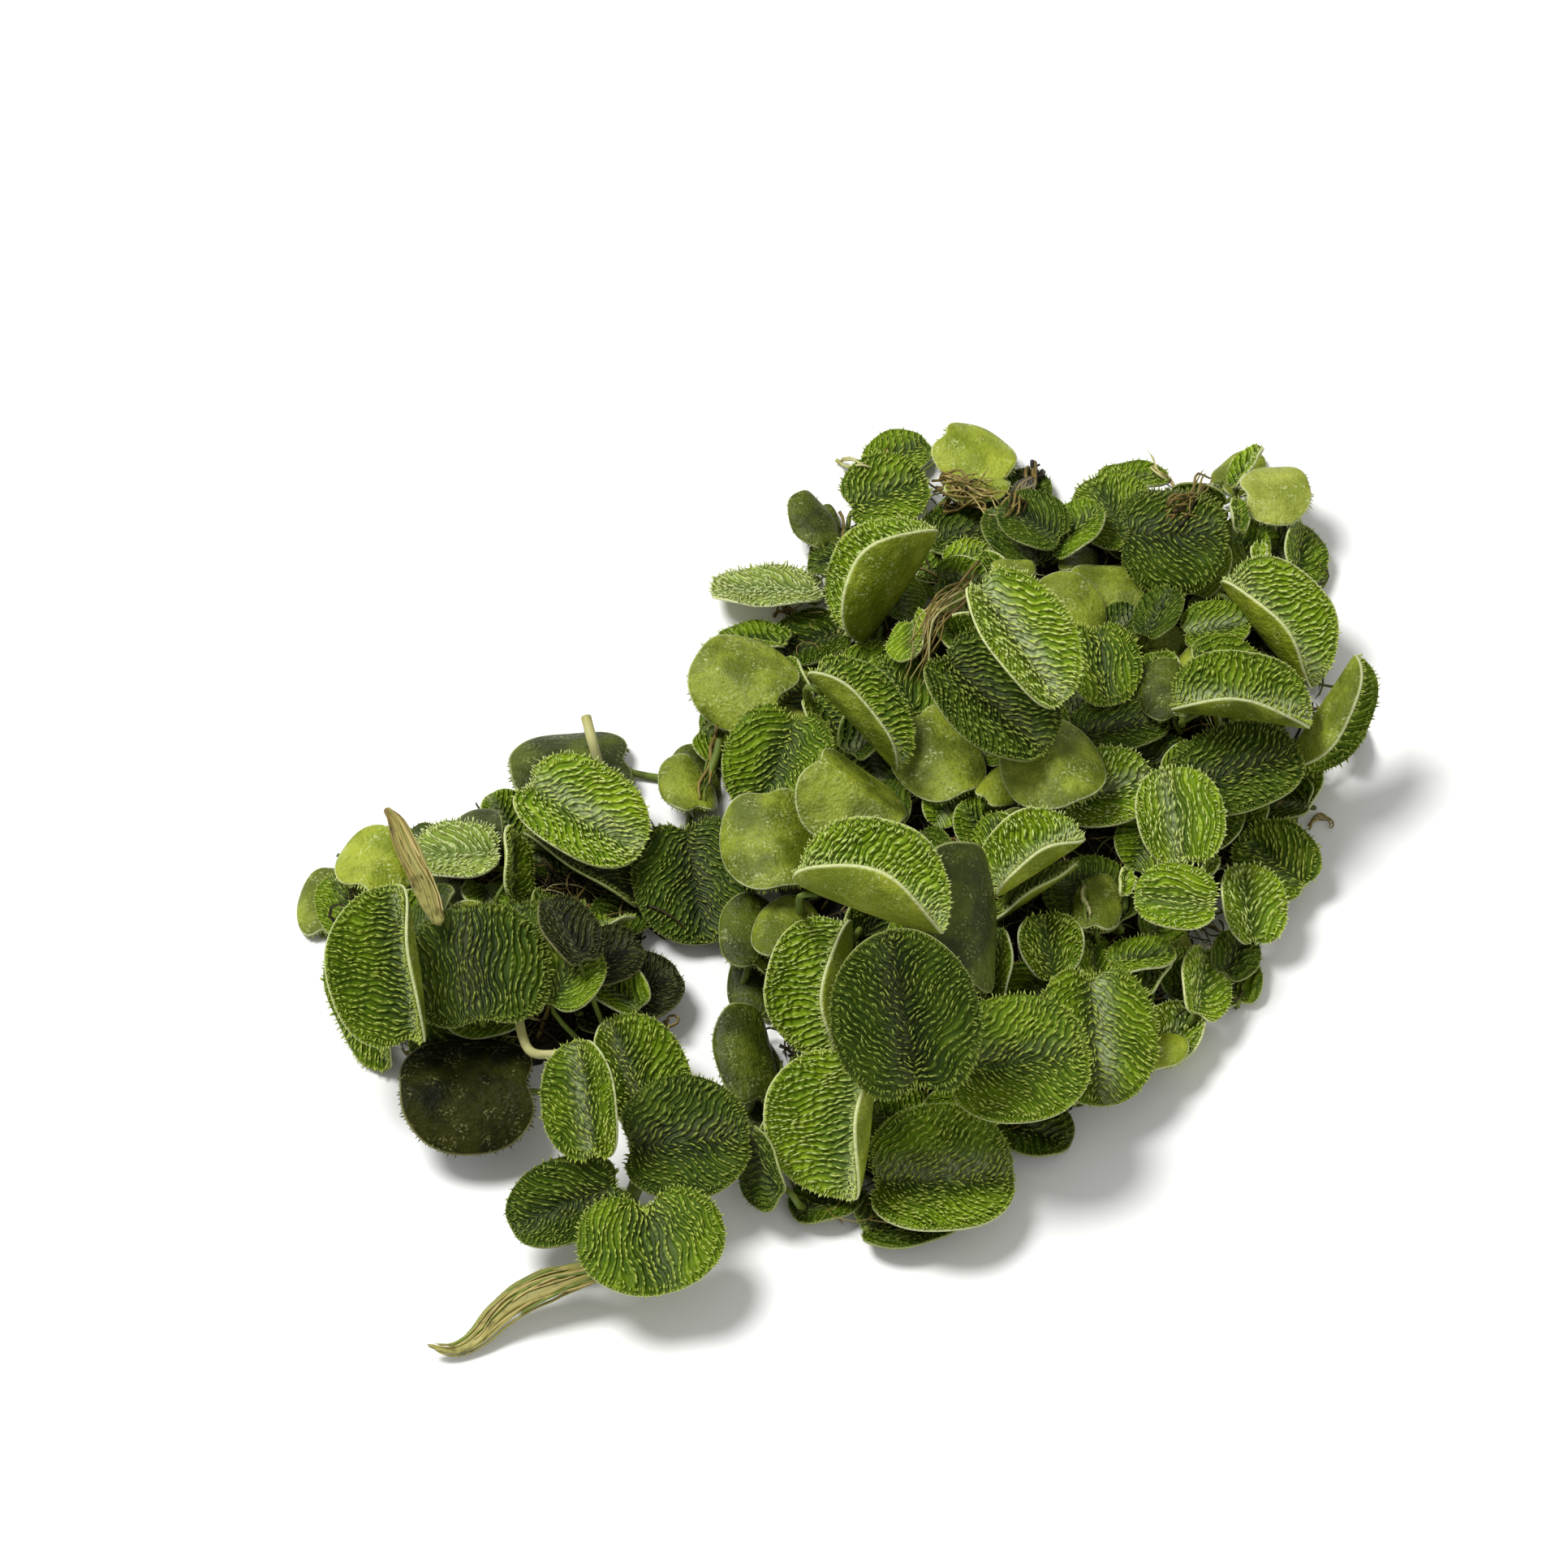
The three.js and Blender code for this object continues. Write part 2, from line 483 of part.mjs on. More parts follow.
// Lays a small leaf where its line of sight meets the mat or the table, raised a little.
function layOnMat(leaf, mat) {
  const turn = seenTurn(leaf);
  let depth = 60;
  let place = placeSeen(leaf.seenX, leaf.seenY, depth).applyMatrix4(view.matrixWorld);
  while (place.z > Math.max(0, matHeight(mat, place.x, place.y))) {
    depth -= 0.2;
    place = placeSeen(leaf.seenX, leaf.seenY, depth).applyMatrix4(view.matrixWorld);
  }
  turn.setPosition(placeSeen(leaf.seenX, leaf.seenY, depth + SMALL_LEAF_LIFT));
  const blade = bladeGeometry(leaf, 2, 4).applyMatrix4(turn).applyMatrix4(view.matrixWorld);
  blade.computeBoundingBox();
  const lowest = blade.boundingBox.min.z;
  const towards = new THREE.Vector3(0, -run, rise).multiplyScalar(Math.max(0, TABLE_GAP - lowest) / rise);
  blade.translate(towards.x, towards.y, towards.z);
  const base = bladePoint(leaf, -0.7, 0).applyMatrix4(turn).applyMatrix4(view.matrixWorld).add(towards);
  return { blade, base };
}

// A straight stalk from a leaf's base into the mat.
function stalkGeometry(base, mat) {
  const inside = new THREE.Vector3(mat.x, mat.y, 0).lerp(new THREE.Vector3(base.x, base.y, 0), 0.5);
  inside.z = matHeight(mat, inside.x, inside.y) / 2;
  const stalk = new THREE.CylinderGeometry(STALK_RADIUS, STALK_RADIUS, base.distanceTo(inside), 4);
  const turn = new THREE.Quaternion().setFromUnitVectors(
    new THREE.Vector3(0, 1, 0), inside.clone().sub(base).normalize(),
  );
  const middle = base.clone().lerp(inside, 0.5);
  return bare(stalk).applyMatrix4(new THREE.Matrix4().compose(middle, turn, new THREE.Vector3(1, 1, 1)));
}

// A mat with its small leaves, as one solid.
function matWithLeaves(mat, leaves, leafPoints) {
  let solid = solidOf(matGeometry(mat, leafPoints));
  for (const leaf of leaves) {
    const { blade, base } = layOnMat(leaf, mat);
    solid = solid.add(solidOf(blade)).add(solidOf(stalkGeometry(base, mat)));
  }
  // pockets sealed between crossing leaves are filled
  const skins = solid.decompose().sort((a, b) => b.volume() - a.volume());
  return geometryOf(skins[0].simplify(WELD));
}

// A stem or long root, as a tube of flattened section.
function strandGeometry(strand) {
  const route = strand.seen.map(([x, y, height]) => placeSeen(x, y, 0).setZ(height));
  const curve = new THREE.CatmullRomCurve3(route);
  const section = new THREE.Shape();
  section.absellipse(0, 0, strand.thick / 2, strand.width / 2, 0, Math.PI * 2);
  const steps = Math.max(4, Math.round(curve.getLength() / STRAND_STEP));
  return bare(new THREE.ExtrudeGeometry(section, { extrudePath: curve, steps, curveSegments: 2 }));
}

const heap = new THREE.Group();
heap.add(view);
const toView = view.matrixWorld.clone().invert();
const mats = [
  ["main_root_mat", MAIN_MAT, MAIN_MAT_LEAVES],
  ["left_root_mat", LEFT_MAT, LEFT_MAT_LEAVES],
];
const sight = new Sight();
for (const [, mat, smallLeaves] of mats) {
  sight.cover(surfacePoints(matWithLeaves(mat, smallLeaves, []), toView));
}
const leafPoints = [];

// Lays a piece in its place and keeps where it is, so that the mats stay under it.
function lay(mesh, seenX, seenY) {
  settle(mesh, seenX, seenY, sight);
  view.add(mesh);
  mesh.updateMatrixWorld();
  leafPoints.push(...surfacePoints(mesh.geometry, mesh.matrixWorld));
}

function layStrand(strand) {
  const colour = strand.name.endsWith("root") ? COLOURS.root : COLOURS.stem;
  const across = strand.seen.map(([x]) => x);
  const down = strand.seen.map(([, y]) => y);
  const seenX = (Math.min(...across) + Math.max(...across)) / 2;
  const seenY = (Math.min(...down) + Math.max(...down)) / 2;
  lay(finished(strand.name, strandGeometry(strand), colour), seenX, seenY);
}

for (const leaf of LEAVES) {
  STRANDS.filter((strand) => strand.under === leaf.name).forEach(layStrand);
  const geometry = leaf.length < LONG_LEAF ? bladeGeometry(leaf, 3, 4) : bladeGeometry(leaf, 4, 6);
  const blade = finished(leaf.name, geometry, leaf.tilt < 90 ? COLOURS.upper : COLOURS.under);
  blade.setRotationFromMatrix(seenTurn(leaf));
  lay(blade, leaf.seenX, leaf.seenY);
}
for (const [name, mat, smallLeaves] of mats) {
  heap.add(finished(name, matWithLeaves(mat, smallLeaves, leafPoints), COLOURS.mat));
}

export default heap;
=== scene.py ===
"""A loose heap of eared watermoss, picked and laid on a table.

Cupped leaves with rows of pale hairs lie over two mats of wet roots. Lengths are millimetres until a mesh is
made, Z points up, and the picture's viewer stands on the -Y side and looks down.
"""
import logging
import math
from dataclasses import dataclass, replace
from enum import Enum

import bmesh
import bpy
import numpy as np
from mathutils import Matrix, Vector, noise
from mathutils.bvhtree import BVHTree


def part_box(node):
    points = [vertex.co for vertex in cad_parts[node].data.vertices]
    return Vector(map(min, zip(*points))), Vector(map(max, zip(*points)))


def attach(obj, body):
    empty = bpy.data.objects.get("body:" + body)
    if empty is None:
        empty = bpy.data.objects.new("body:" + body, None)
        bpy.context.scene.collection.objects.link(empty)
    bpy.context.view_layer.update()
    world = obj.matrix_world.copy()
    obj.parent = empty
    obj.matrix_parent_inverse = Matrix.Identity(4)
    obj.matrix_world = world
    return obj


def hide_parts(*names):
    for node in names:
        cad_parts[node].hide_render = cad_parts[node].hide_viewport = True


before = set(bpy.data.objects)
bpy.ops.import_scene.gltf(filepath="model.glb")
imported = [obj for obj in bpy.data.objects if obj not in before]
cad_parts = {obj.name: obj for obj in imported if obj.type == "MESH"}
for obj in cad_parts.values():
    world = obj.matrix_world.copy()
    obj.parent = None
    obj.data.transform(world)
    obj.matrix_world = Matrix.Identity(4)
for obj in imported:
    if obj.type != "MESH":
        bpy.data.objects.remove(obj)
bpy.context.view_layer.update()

log = logging.getLogger("watermoss")
MM = 0.001
SEED = 11


# The picture

@dataclass(frozen=True)
class Viewpoint:
    """Where the picture's viewer stands, and how its pixels lie on the heap."""

    elevation: float = 55.0
    distance: float = 900.0
    pixels_per_mm: float = 13.0
    picture_middle: float = 966.0
    picture_side: float = 1932.0
    origin_seen: tuple[float, float] = (1265.0, 1024.0)

    @property
    def axes(self) -> np.ndarray:
        """The viewer's right, up and towards directions, as rows.

        Returns:
            The three directions.
        """
        rise = math.sin(math.radians(self.elevation))
        run = math.cos(math.radians(self.elevation))
        return np.array([[1, 0, 0], [0, rise, run], [0, -run, rise]])

    @property
    def target(self) -> np.ndarray:
        """The point of the table in the middle of the picture.

        Returns:
            The point.
        """
        across, down = self.origin_seen
        rise = self.axes[1, 1]
        return np.array([
            (self.picture_middle - across) / self.pixels_per_mm,
            (down - self.picture_middle) / self.pixels_per_mm / rise,
            0,
        ])

    @property
    def eye(self) -> np.ndarray:
        """Where the viewer's eye is."""
        return self.target + self.distance * self.axes[2]

    def place(self, seen: tuple[float, float], depth: float) -> np.ndarray:
        """The point seen at a pixel that lies at a depth towards the viewer.

        Args:
            seen: The pixel, across and down.
            depth: How far the point is in front of the target's plane.

        Returns:
            The point.
        """
        scale = (1 - depth / self.distance) / self.pixels_per_mm
        across = (seen[0] - self.picture_middle) * scale
        up = (self.picture_middle - seen[1]) * scale
        return self.target + np.array([across, up, depth]) @ self.axes

    def seen(self, points: np.ndarray) -> np.ndarray:
        """The pixels at which points are seen.

        Args:
            points: The points.

        Returns:
            A pixel for each, across and down.
        """
        across, up, depth = ((points - self.target) @ self.axes.T).T
        scale = (1 - depth / self.distance) / self.pixels_per_mm
        return np.stack([self.picture_middle + across / scale, self.picture_middle - up / scale], axis=-1)

    def first_hit(self, seen: tuple[float, float], tree: BVHTree) -> np.ndarray | None:
        """The first surface behind a pixel.

        Args:
            seen: The pixel, across and down.
            tree: The surfaces.

        Returns:
            The point that is hit, or None.
        """
        way = self.place(seen, 0) - self.eye
        hit = tree.ray_cast(Vector(self.eye), Vector(way / np.linalg.norm(way)))[0]
        return None if hit is None else np.array(hit)

    def camera(self) -> None:
        """Makes the scene's camera at the viewer's eye."""
        data = bpy.data.cameras.new("picture_camera")
        data.sensor_width = 36
        data.lens = data.sensor_width * self.distance * self.pixels_per_mm / self.picture_side
        data.clip_start = 0.01
        camera = bpy.data.objects.new("picture_camera", data)
        camera.location = Vector(self.eye) * MM
        camera.rotation_euler = (math.radians(90 - self.elevation), 0, 0)
        bpy.context.scene.collection.objects.link(camera)
        bpy.context.scene.camera = camera


VIEW = Viewpoint()


# Finishes

def paint(code: str) -> tuple[float, float, float, float]:
    """A colour from its red, green and blue in hexadecimal, as light.

    Args:
        code: Six hexadecimal digits.

    Returns:
        The linear colour.
    """
    parts = [int(code[i:i + 2], 16) / 255 for i in (0, 2, 4)]
    light = [p / 12.92 if p <= 0.04045 else ((p + 0.055) / 1.055) ** 2.4 for p in parts]
    return (*light, 1.0)


class Recipe:
    """A material's nodes, joined one by one."""

    def __init__(self, name: str) -> None:
        """Starts a material with a plain shader.

        Args:
            name: The material's name.
        """
        self.material = bpy.data.materials.new(name)
        self.material.use_nodes = True
        self.tree = self.material.node_tree
        self.shader = self.tree.nodes["Principled BSDF"]

    def add(self, kind: str, inputs: dict, **settings: object) -> bpy.types.Node:
        """Adds a node.

        Args:
            kind: The node's type, without ShaderNode.
            inputs: Values or sockets for its inputs, by name or number.
            settings: Its other settings.

        Returns:
            The node.
        """
        node = self.tree.nodes.new("ShaderNode" + kind)
        for key, value in settings.items():
            setattr(node, key, value)
        for key, value in inputs.items():
            self.feed(node, key, value)
        return node

    def feed(self, node: bpy.types.Node, key: str | int, value: object) -> None:
        """Joins a socket to a node's input, or sets the input's value.

        Args:
            node: The node.
            key: The input's name or number.
            value: A socket or a value.
        """
        if isinstance(value, bpy.types.NodeSocket):
            self.tree.links.new(value, node.inputs[key])
        else:
            node.inputs[key].default_value = value

    def attribute(self, name: str, output: str = "Vector") -> bpy.types.NodeSocket:
        """The value that a mesh holds under a name."""
        return self.add("Attribute", {}, attribute_name=name).outputs[output]

    def speckle(self, size: float, detail: float = 2.0) -> bpy.types.NodeSocket:
        """Even noise from 0 to 1 over the object.

        Args:
            size: How wide its patches are.
            detail: How much finer noise it holds.

        Returns:
            The noise.
        """
        where = self.add("TexCoord", {}).outputs["Object"]
        inputs = {"Vector": where, "Scale": 1 / (size * MM), "Detail": detail}
        return self.add("TexNoise", inputs).outputs["Fac"]

    def plus(self, first: object, second: object) -> bpy.types.NodeSocket:
        """Two numbers added."""
        return self.add("Math", {0: first, 1: second}, operation="ADD").outputs[0]

    def times(self, first: object, second: object) -> bpy.types.NodeSocket:
        """Two numbers multiplied."""
        return self.add("Math", {0: first, 1: second}, operation="MULTIPLY").outputs[0]

    def spread(self, value: object, low: float, high: float, start: float = 0,
               end: float = 1) -> bpy.types.NodeSocket:
        """A number moved from the range low to high into start to end, smoothly."""
        inputs = {0: value, 1: low, 2: high, 3: start, 4: end}
        return self.add("MapRange", inputs, interpolation_type="SMOOTHSTEP").outputs[0]

    def blend(self, share: object, first: object, second: object, mode: str = "MIX") -> bpy.types.NodeSocket:
        """A colour between two, or one laid over the other."""
        inputs = {0: share, 6: first, 7: second}
        return self.add("Mix", inputs, data_type="RGBA", blend_type=mode).outputs[2]

    def tint(self, colour: object, code: str, value: object, *reach: float) -> bpy.types.NodeSocket:
        """A colour blended into another where a value, spread over a reach, is high."""
        return self.blend(self.spread(value, *reach), colour, paint(code))

    def raise_by(self, height: object, depth: float) -> None:
        """Lets a height from 0 to 1, of a depth, tilt the light on the surface."""
        bump = self.add("Bump", {"Height": height, "Distance": depth * MM})
        self.feed(self.shader, "Normal", bump.outputs[0])

    def finish(self, colour: object, roughness: object, **values: float) -> bpy.types.Material:
        """Gives the shader its colour and gloss.

        Args:
            colour: The base colour.
            roughness: The roughness.
            values: The shader's other inputs, with _ for a space.

        Returns:
            The material.
        """
        self.feed(self.shader, "Base Color", colour)
        self.feed(self.shader, "Roughness", roughness)
        for key, value in values.items():
            self.feed(self.shader, key.replace("_", " "), value)
        return self.material


class Finish:
    """A finish that is made into a material once."""

    def material(self) -> bpy.types.Material:
        """The finish's material, made on its first use."""
        return bpy.data.materials.get(self.name) or self.mix()


@dataclass(frozen=True)
class UpperFinish(Finish):
    """A leaf's upper face: painted shade along the crease, lighter halves, low ridges under the hairs with
    painted shade between them, a painted silvery sheen and a pale rim.
    """

    name: str
    hollow_shade: str
    ridge: str
    light: str
    rim: str
    sheen_silver: str = "a8b482"
    gloss: float = 0.5

    def mix(self) -> bpy.types.Material:
        """Builds the material.

        Returns:
            The material.
        """
        recipe = Recipe(self.name)
        split = recipe.add("SeparateXYZ", {0: recipe.attribute("weave")})
        crease_shade = recipe.attribute("crease_shade", "Fac")
        patch = recipe.speckle(3.6, 3)
        grain = recipe.speckle(0.45, 3)
        swing = recipe.times(recipe.speckle(1.5), 0.3)
        turn = recipe.times(recipe.plus(split.outputs[0], swing), math.tau)
        wave = recipe.add("Math", {0: turn}, operation="COSINE").outputs[0]
        ridge = recipe.spread(wave, -0.9, 1)
        broken = recipe.times(ridge, recipe.spread(grain, 0.3, 0.6, 0.2, 1))
        green = recipe.tint(paint(self.ridge), self.light, patch, 0.32, 0.68)
        # Painted shade: the crease is darkened towards its shade colour, most at the midrib.
        green = recipe.tint(green, self.hollow_shade, crease_shade, 0.15, 0.95, 0, 0.85)
        # Painted shade: the grooves between the ridges get a darker copy of the green.
        hollow_shade = recipe.blend(1.0, green, (0.55, 0.6, 0.5, 1), "MULTIPLY")
        green = recipe.blend(recipe.spread(broken, 0, 1, 0, 1), hollow_shade, green)
        green = recipe.tint(green, self.rim, broken, 0.55, 0.95, 0, 0.4)
        # Painted sheen: a pale silvery band beside the crease, as strong as the second value of the weave
        # attribute.
        shine = recipe.times(split.outputs[1], recipe.spread(grain, 0.3, 0.62, 0.25, 1))
        green = recipe.blend(shine, green, paint(self.sheen_silver))
        edge = recipe.spread(split.outputs[2], 0.95, 0.99, 0, 0.55)
        recipe.raise_by(recipe.plus(ridge, recipe.times(grain, 0.7)), 0.22)
        rough = recipe.spread(grain, 0.3, 0.7, self.gloss - 0.1, self.gloss + 0.15)
        return recipe.finish(recipe.blend(edge, green, paint(self.rim)), rough, Specular_IOR_Level=0.14)


@dataclass(frozen=True)
class UnderFinish(Finish):
    """A leaf's smooth, wet underside, yellower than its upper face, with fine wet spots that are glossier and
    carry pale painted glints.
    """

    name: str
    deep: str
    bright: str
    rim: str
    painted_glints: float = 0.45
    gloss: float = 0.42
    shine: float = 0.2

    def mix(self) -> bpy.types.Material:
        """Builds the material.

        Returns:
            The material.
        """
        recipe = Recipe(self.name)
        split = recipe.add("SeparateXYZ", {0: recipe.attribute("weave")})
        patch = recipe.speckle(4, 4)
        cloud = recipe.speckle(1.8, 2)
        grain = recipe.speckle(0.26, 2)
        wrinkle = recipe.speckle(0.75, 4)
        green = recipe.tint(paint(self.deep), self.bright, patch, 0.36, 0.64)
        green = recipe.tint(green, self.deep, wrinkle, 0.5, 0.68, 0, 0.4)
        shade = recipe.blend(1.0, green, (0.5, 0.52, 0.42, 1), "MULTIPLY")
        green = recipe.blend(recipe.spread(grain, 0.5, 0.7, 0, 0.45), green, shade)
        # Fine wet spots: they are glossier, and pale specks in the rim colour are painted on them as glints.
        wet = recipe.times(recipe.spread(grain, 0.44, 0.36), recipe.spread(cloud, 0.46, 0.66))
        green = recipe.blend(recipe.times(wet, self.painted_glints), green, paint(self.rim))
        edge = recipe.spread(split.outputs[2], 0.965, 0.995, 0, 0.7)
        recipe.raise_by(recipe.plus(grain, recipe.times(wrinkle, 2)), 0.12)
        rough = recipe.spread(wet, 0, 1, self.gloss, self.gloss - 0.24)
        return recipe.finish(recipe.blend(edge, green, paint(self.rim)), rough, Specular_IOR_Level=self.shine)


@dataclass(frozen=True)
class StrandFinish(Finish):
    """Hairs, roots and stems: one colour at the foot and another at the tip, with streaks."""

    name: str
    foot: str
    tip: str
    streak: str
    grain: float = 0.8
    gloss: float = 0.5

    def mix(self) -> bpy.types.Material:
        """Builds the material.

        Returns:
            The material.
        """
        recipe = Recipe(self.name)
        along = recipe.attribute("along", "Fac")
        patch = recipe.speckle(self.grain, 2)
        colour = recipe.blend(along, paint(self.foot), paint(self.tip))
        colour = recipe.tint(colour, self.streak, patch, 0.5, 0.75, 0, 0.7)
        return recipe.finish(colour, self.gloss, Specular_IOR_Level=0.2)


@dataclass(frozen=True)
class MatFinish(Finish):
    """The tangle under the leaves: a near-black base that is painted shade for the deep gaps between leaves,
    with patches of wet brown and green root.
    """

    name: str = "wet_root_tangle_painted_shade"
    dark: str = "0b0d04"
    brown: str = "2a2110"
    green: str = "1b260a"

    def mix(self) -> bpy.types.Material:
        """Builds the material.

        Returns:
            The material.
        """
        recipe = Recipe(self.name)
        patch = recipe.speckle(3.2, 3)
        grain = recipe.speckle(0.6, 4)
        # Painted shade: the base colour is near black, with brown and then green patches laid over it.
        colour = recipe.tint(paint(self.dark), self.brown, patch, 0.4, 0.7)
        colour = recipe.tint(colour, self.green, grain, 0.55, 0.8)
        recipe.raise_by(recipe.plus(grain, patch), 0.8)
        return recipe.finish(colour, recipe.spread(grain, 0.3, 0.7, 0.4, 0.75), Specular_IOR_Level=0.2)


@dataclass(frozen=True)
class TableFinish(Finish):
    """The plain pale table."""

    name: str = "pale_table"
    colour: str = "f4f4f2"

    def mix(self) -> bpy.types.Material:
        """Builds the material."""
        return Recipe(self.name).finish(paint(self.colour), 0.9)


class Tone(Enum):
    """How a leaf is coloured: its upper face, its underside and its hairs, with painted light or shade: the
    sunny tone lighter as if lit, the deep and wet tones darker as if shaded.
    """

    FRESH = "fresh"
    DEEP = "deep"
    SUNNY = "sunny"
    WET_AND_SHADED = "wet"
    PALE = "pale"


# Per tone, the upper face, underside and hair colours; besides each leaf's own colour, the sunny rows hold
# painted light and the deep and wet rows painted shade.
COLOURS = {
    Tone.FRESH: ("2b3e04 526c04 76900a 86983c", "566210 86912a c8ce9a", "869728 b8c664 98a83e"),
    Tone.DEEP: ("1a2602 354a02 4b6004 5e6c22", "2e380a 525e12 a0a76a", "5e6e1e 96a44c 74822e"),
    Tone.SUNNY: ("465e08 72900c 8fa914 a8b850", "717f18 9aa530 d8dca4", "a2b23e d0dc94 b6c65c"),
    Tone.WET_AND_SHADED: ("101305 1e2306 2b3109 44491e", "101203 2c2e08 8a8858", "3a3e18 70764a 50562a"),
    Tone.PALE: ("788c44 99ad48 aebf58 c8d298", "7e882c a4ac4a d8dcb0", "b0bc6a d6dea8 c0ca84"),
}
UPPERS = {tone: UpperFinish(tone.value + "_leaf", *codes[0].split()) for tone, codes in COLOURS.items()}
UNDERS = {tone: UnderFinish(tone.value + "_underside", *codes[1].split()) for tone, codes in COLOURS.items()}
UNDERS[Tone.WET_AND_SHADED] = replace(UNDERS[Tone.WET_AND_SHADED], painted_glints=0.5, shine=0.06)
HAIRS = {tone: StrandFinish(tone.value + "_hairs", *codes[2].split()) for tone, codes in COLOURS.items()}
TONES = FRESH, DEEP, SUNNY, WET_AND_SHADED, PALE = list(Tone)
STEM = StrandFinish("pale_stem", "a3a060", "c3c08a", "7c7a44", 1.5, 0.45)
GREEN_STEM = StrandFinish("green_stem", "4c5c1a", "6f8030", "38421a", 1.5, 0.45)
ROOT = StrandFinish("brown_root", "6b5a2a", "8f7e42", "3f341a", 1.2, 0.5)
STRAW = StrandFinish("straw_root", "938249", "b9aa6c", "5d4f2a", 1.2, 0.5)
WITHERED = StrandFinish("withered_root", "7c7838", "a09a58", "4e4c20", 1.2, 0.5)
# Near-black roots: partly the roots' own colour, partly painted shade where they fill the dark gaps of the
# heap.
DARK_ROOT_AND_SHADE = StrandFinish("dark_root_and_painted_shade", "1c180a", "3a3014", "0e0c05", 1.2, 0.5)
STRAND_FINISHES = [DARK_ROOT_AND_SHADE, ROOT, STRAW, STEM, GREEN_STEM]


# Shapes that several pieces share

def unit(vectors: np.ndarray) -> np.ndarray:
    """The vectors, each with a length of one."""
    return vectors / np.maximum(np.linalg.norm(vectors, axis=-1, keepdims=True), 1e-9)


def arc_end(start: float, turn: np.ndarray | float, length: np.ndarray | float) -> tuple:
    """How far over and up an arc ends, from the slope it leaves at, how far it turns up and its length."""
    chord = length * np.sinc(turn / 2 / math.pi)
    return chord * np.cos(start + turn / 2), chord * np.sin(start + turn / 2)


def smooth_path(points: np.ndarray, count: int) -> np.ndarray:
    """A smooth line through points.

    Args:
        points: The points, in order.
        count: How many points the line gets.

    Returns:
        The line's points.
    """
    padded = np.vstack([2 * points[0] - points[1], points, 2 * points[-1] - points[-2]])
    where = np.linspace(0, len(points) - 1 - 1e-6, count)
    index = where.astype(int)
    share = (where - index)[:, None]
    before, here, after, beyond = (padded[index + i] for i in range(4))
    return 0.5 * (
        2 * here + (after - before) * share
        + (2 * before - 5 * here + 4 * after - beyond) * share ** 2
        + (3 * here - before - 3 * after + beyond) * share ** 3
    )


def mesh_of(bm: bmesh.types.BMesh, name: str) -> bpy.types.Mesh:
    """A mesh of what bmesh holds, which is freed.

    Args:
        bm: The bmesh.
        name: The mesh's name.

    Returns:
        The mesh.
    """
    mesh = bpy.data.meshes.new(name)
    bm.to_mesh(mesh)
    bm.free()
    return mesh


def new_piece(name: str, mesh: bpy.types.Mesh, finishes: list[Finish]) -> bpy.types.Object:
    """Puts a mesh in the scene as a dressed piece of the object.

    Args:
        name: The piece's name.
        mesh: Its mesh, in metres.
        finishes: Its finishes, in the order of its faces' material numbers.

    Returns:
        The piece.
    """
    piece = bpy.data.objects.new(name, mesh)
    for finish in finishes:
        mesh.materials.append(finish.material())
    bpy.context.scene.collection.objects.link(piece)
    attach(piece, "root")
    return piece


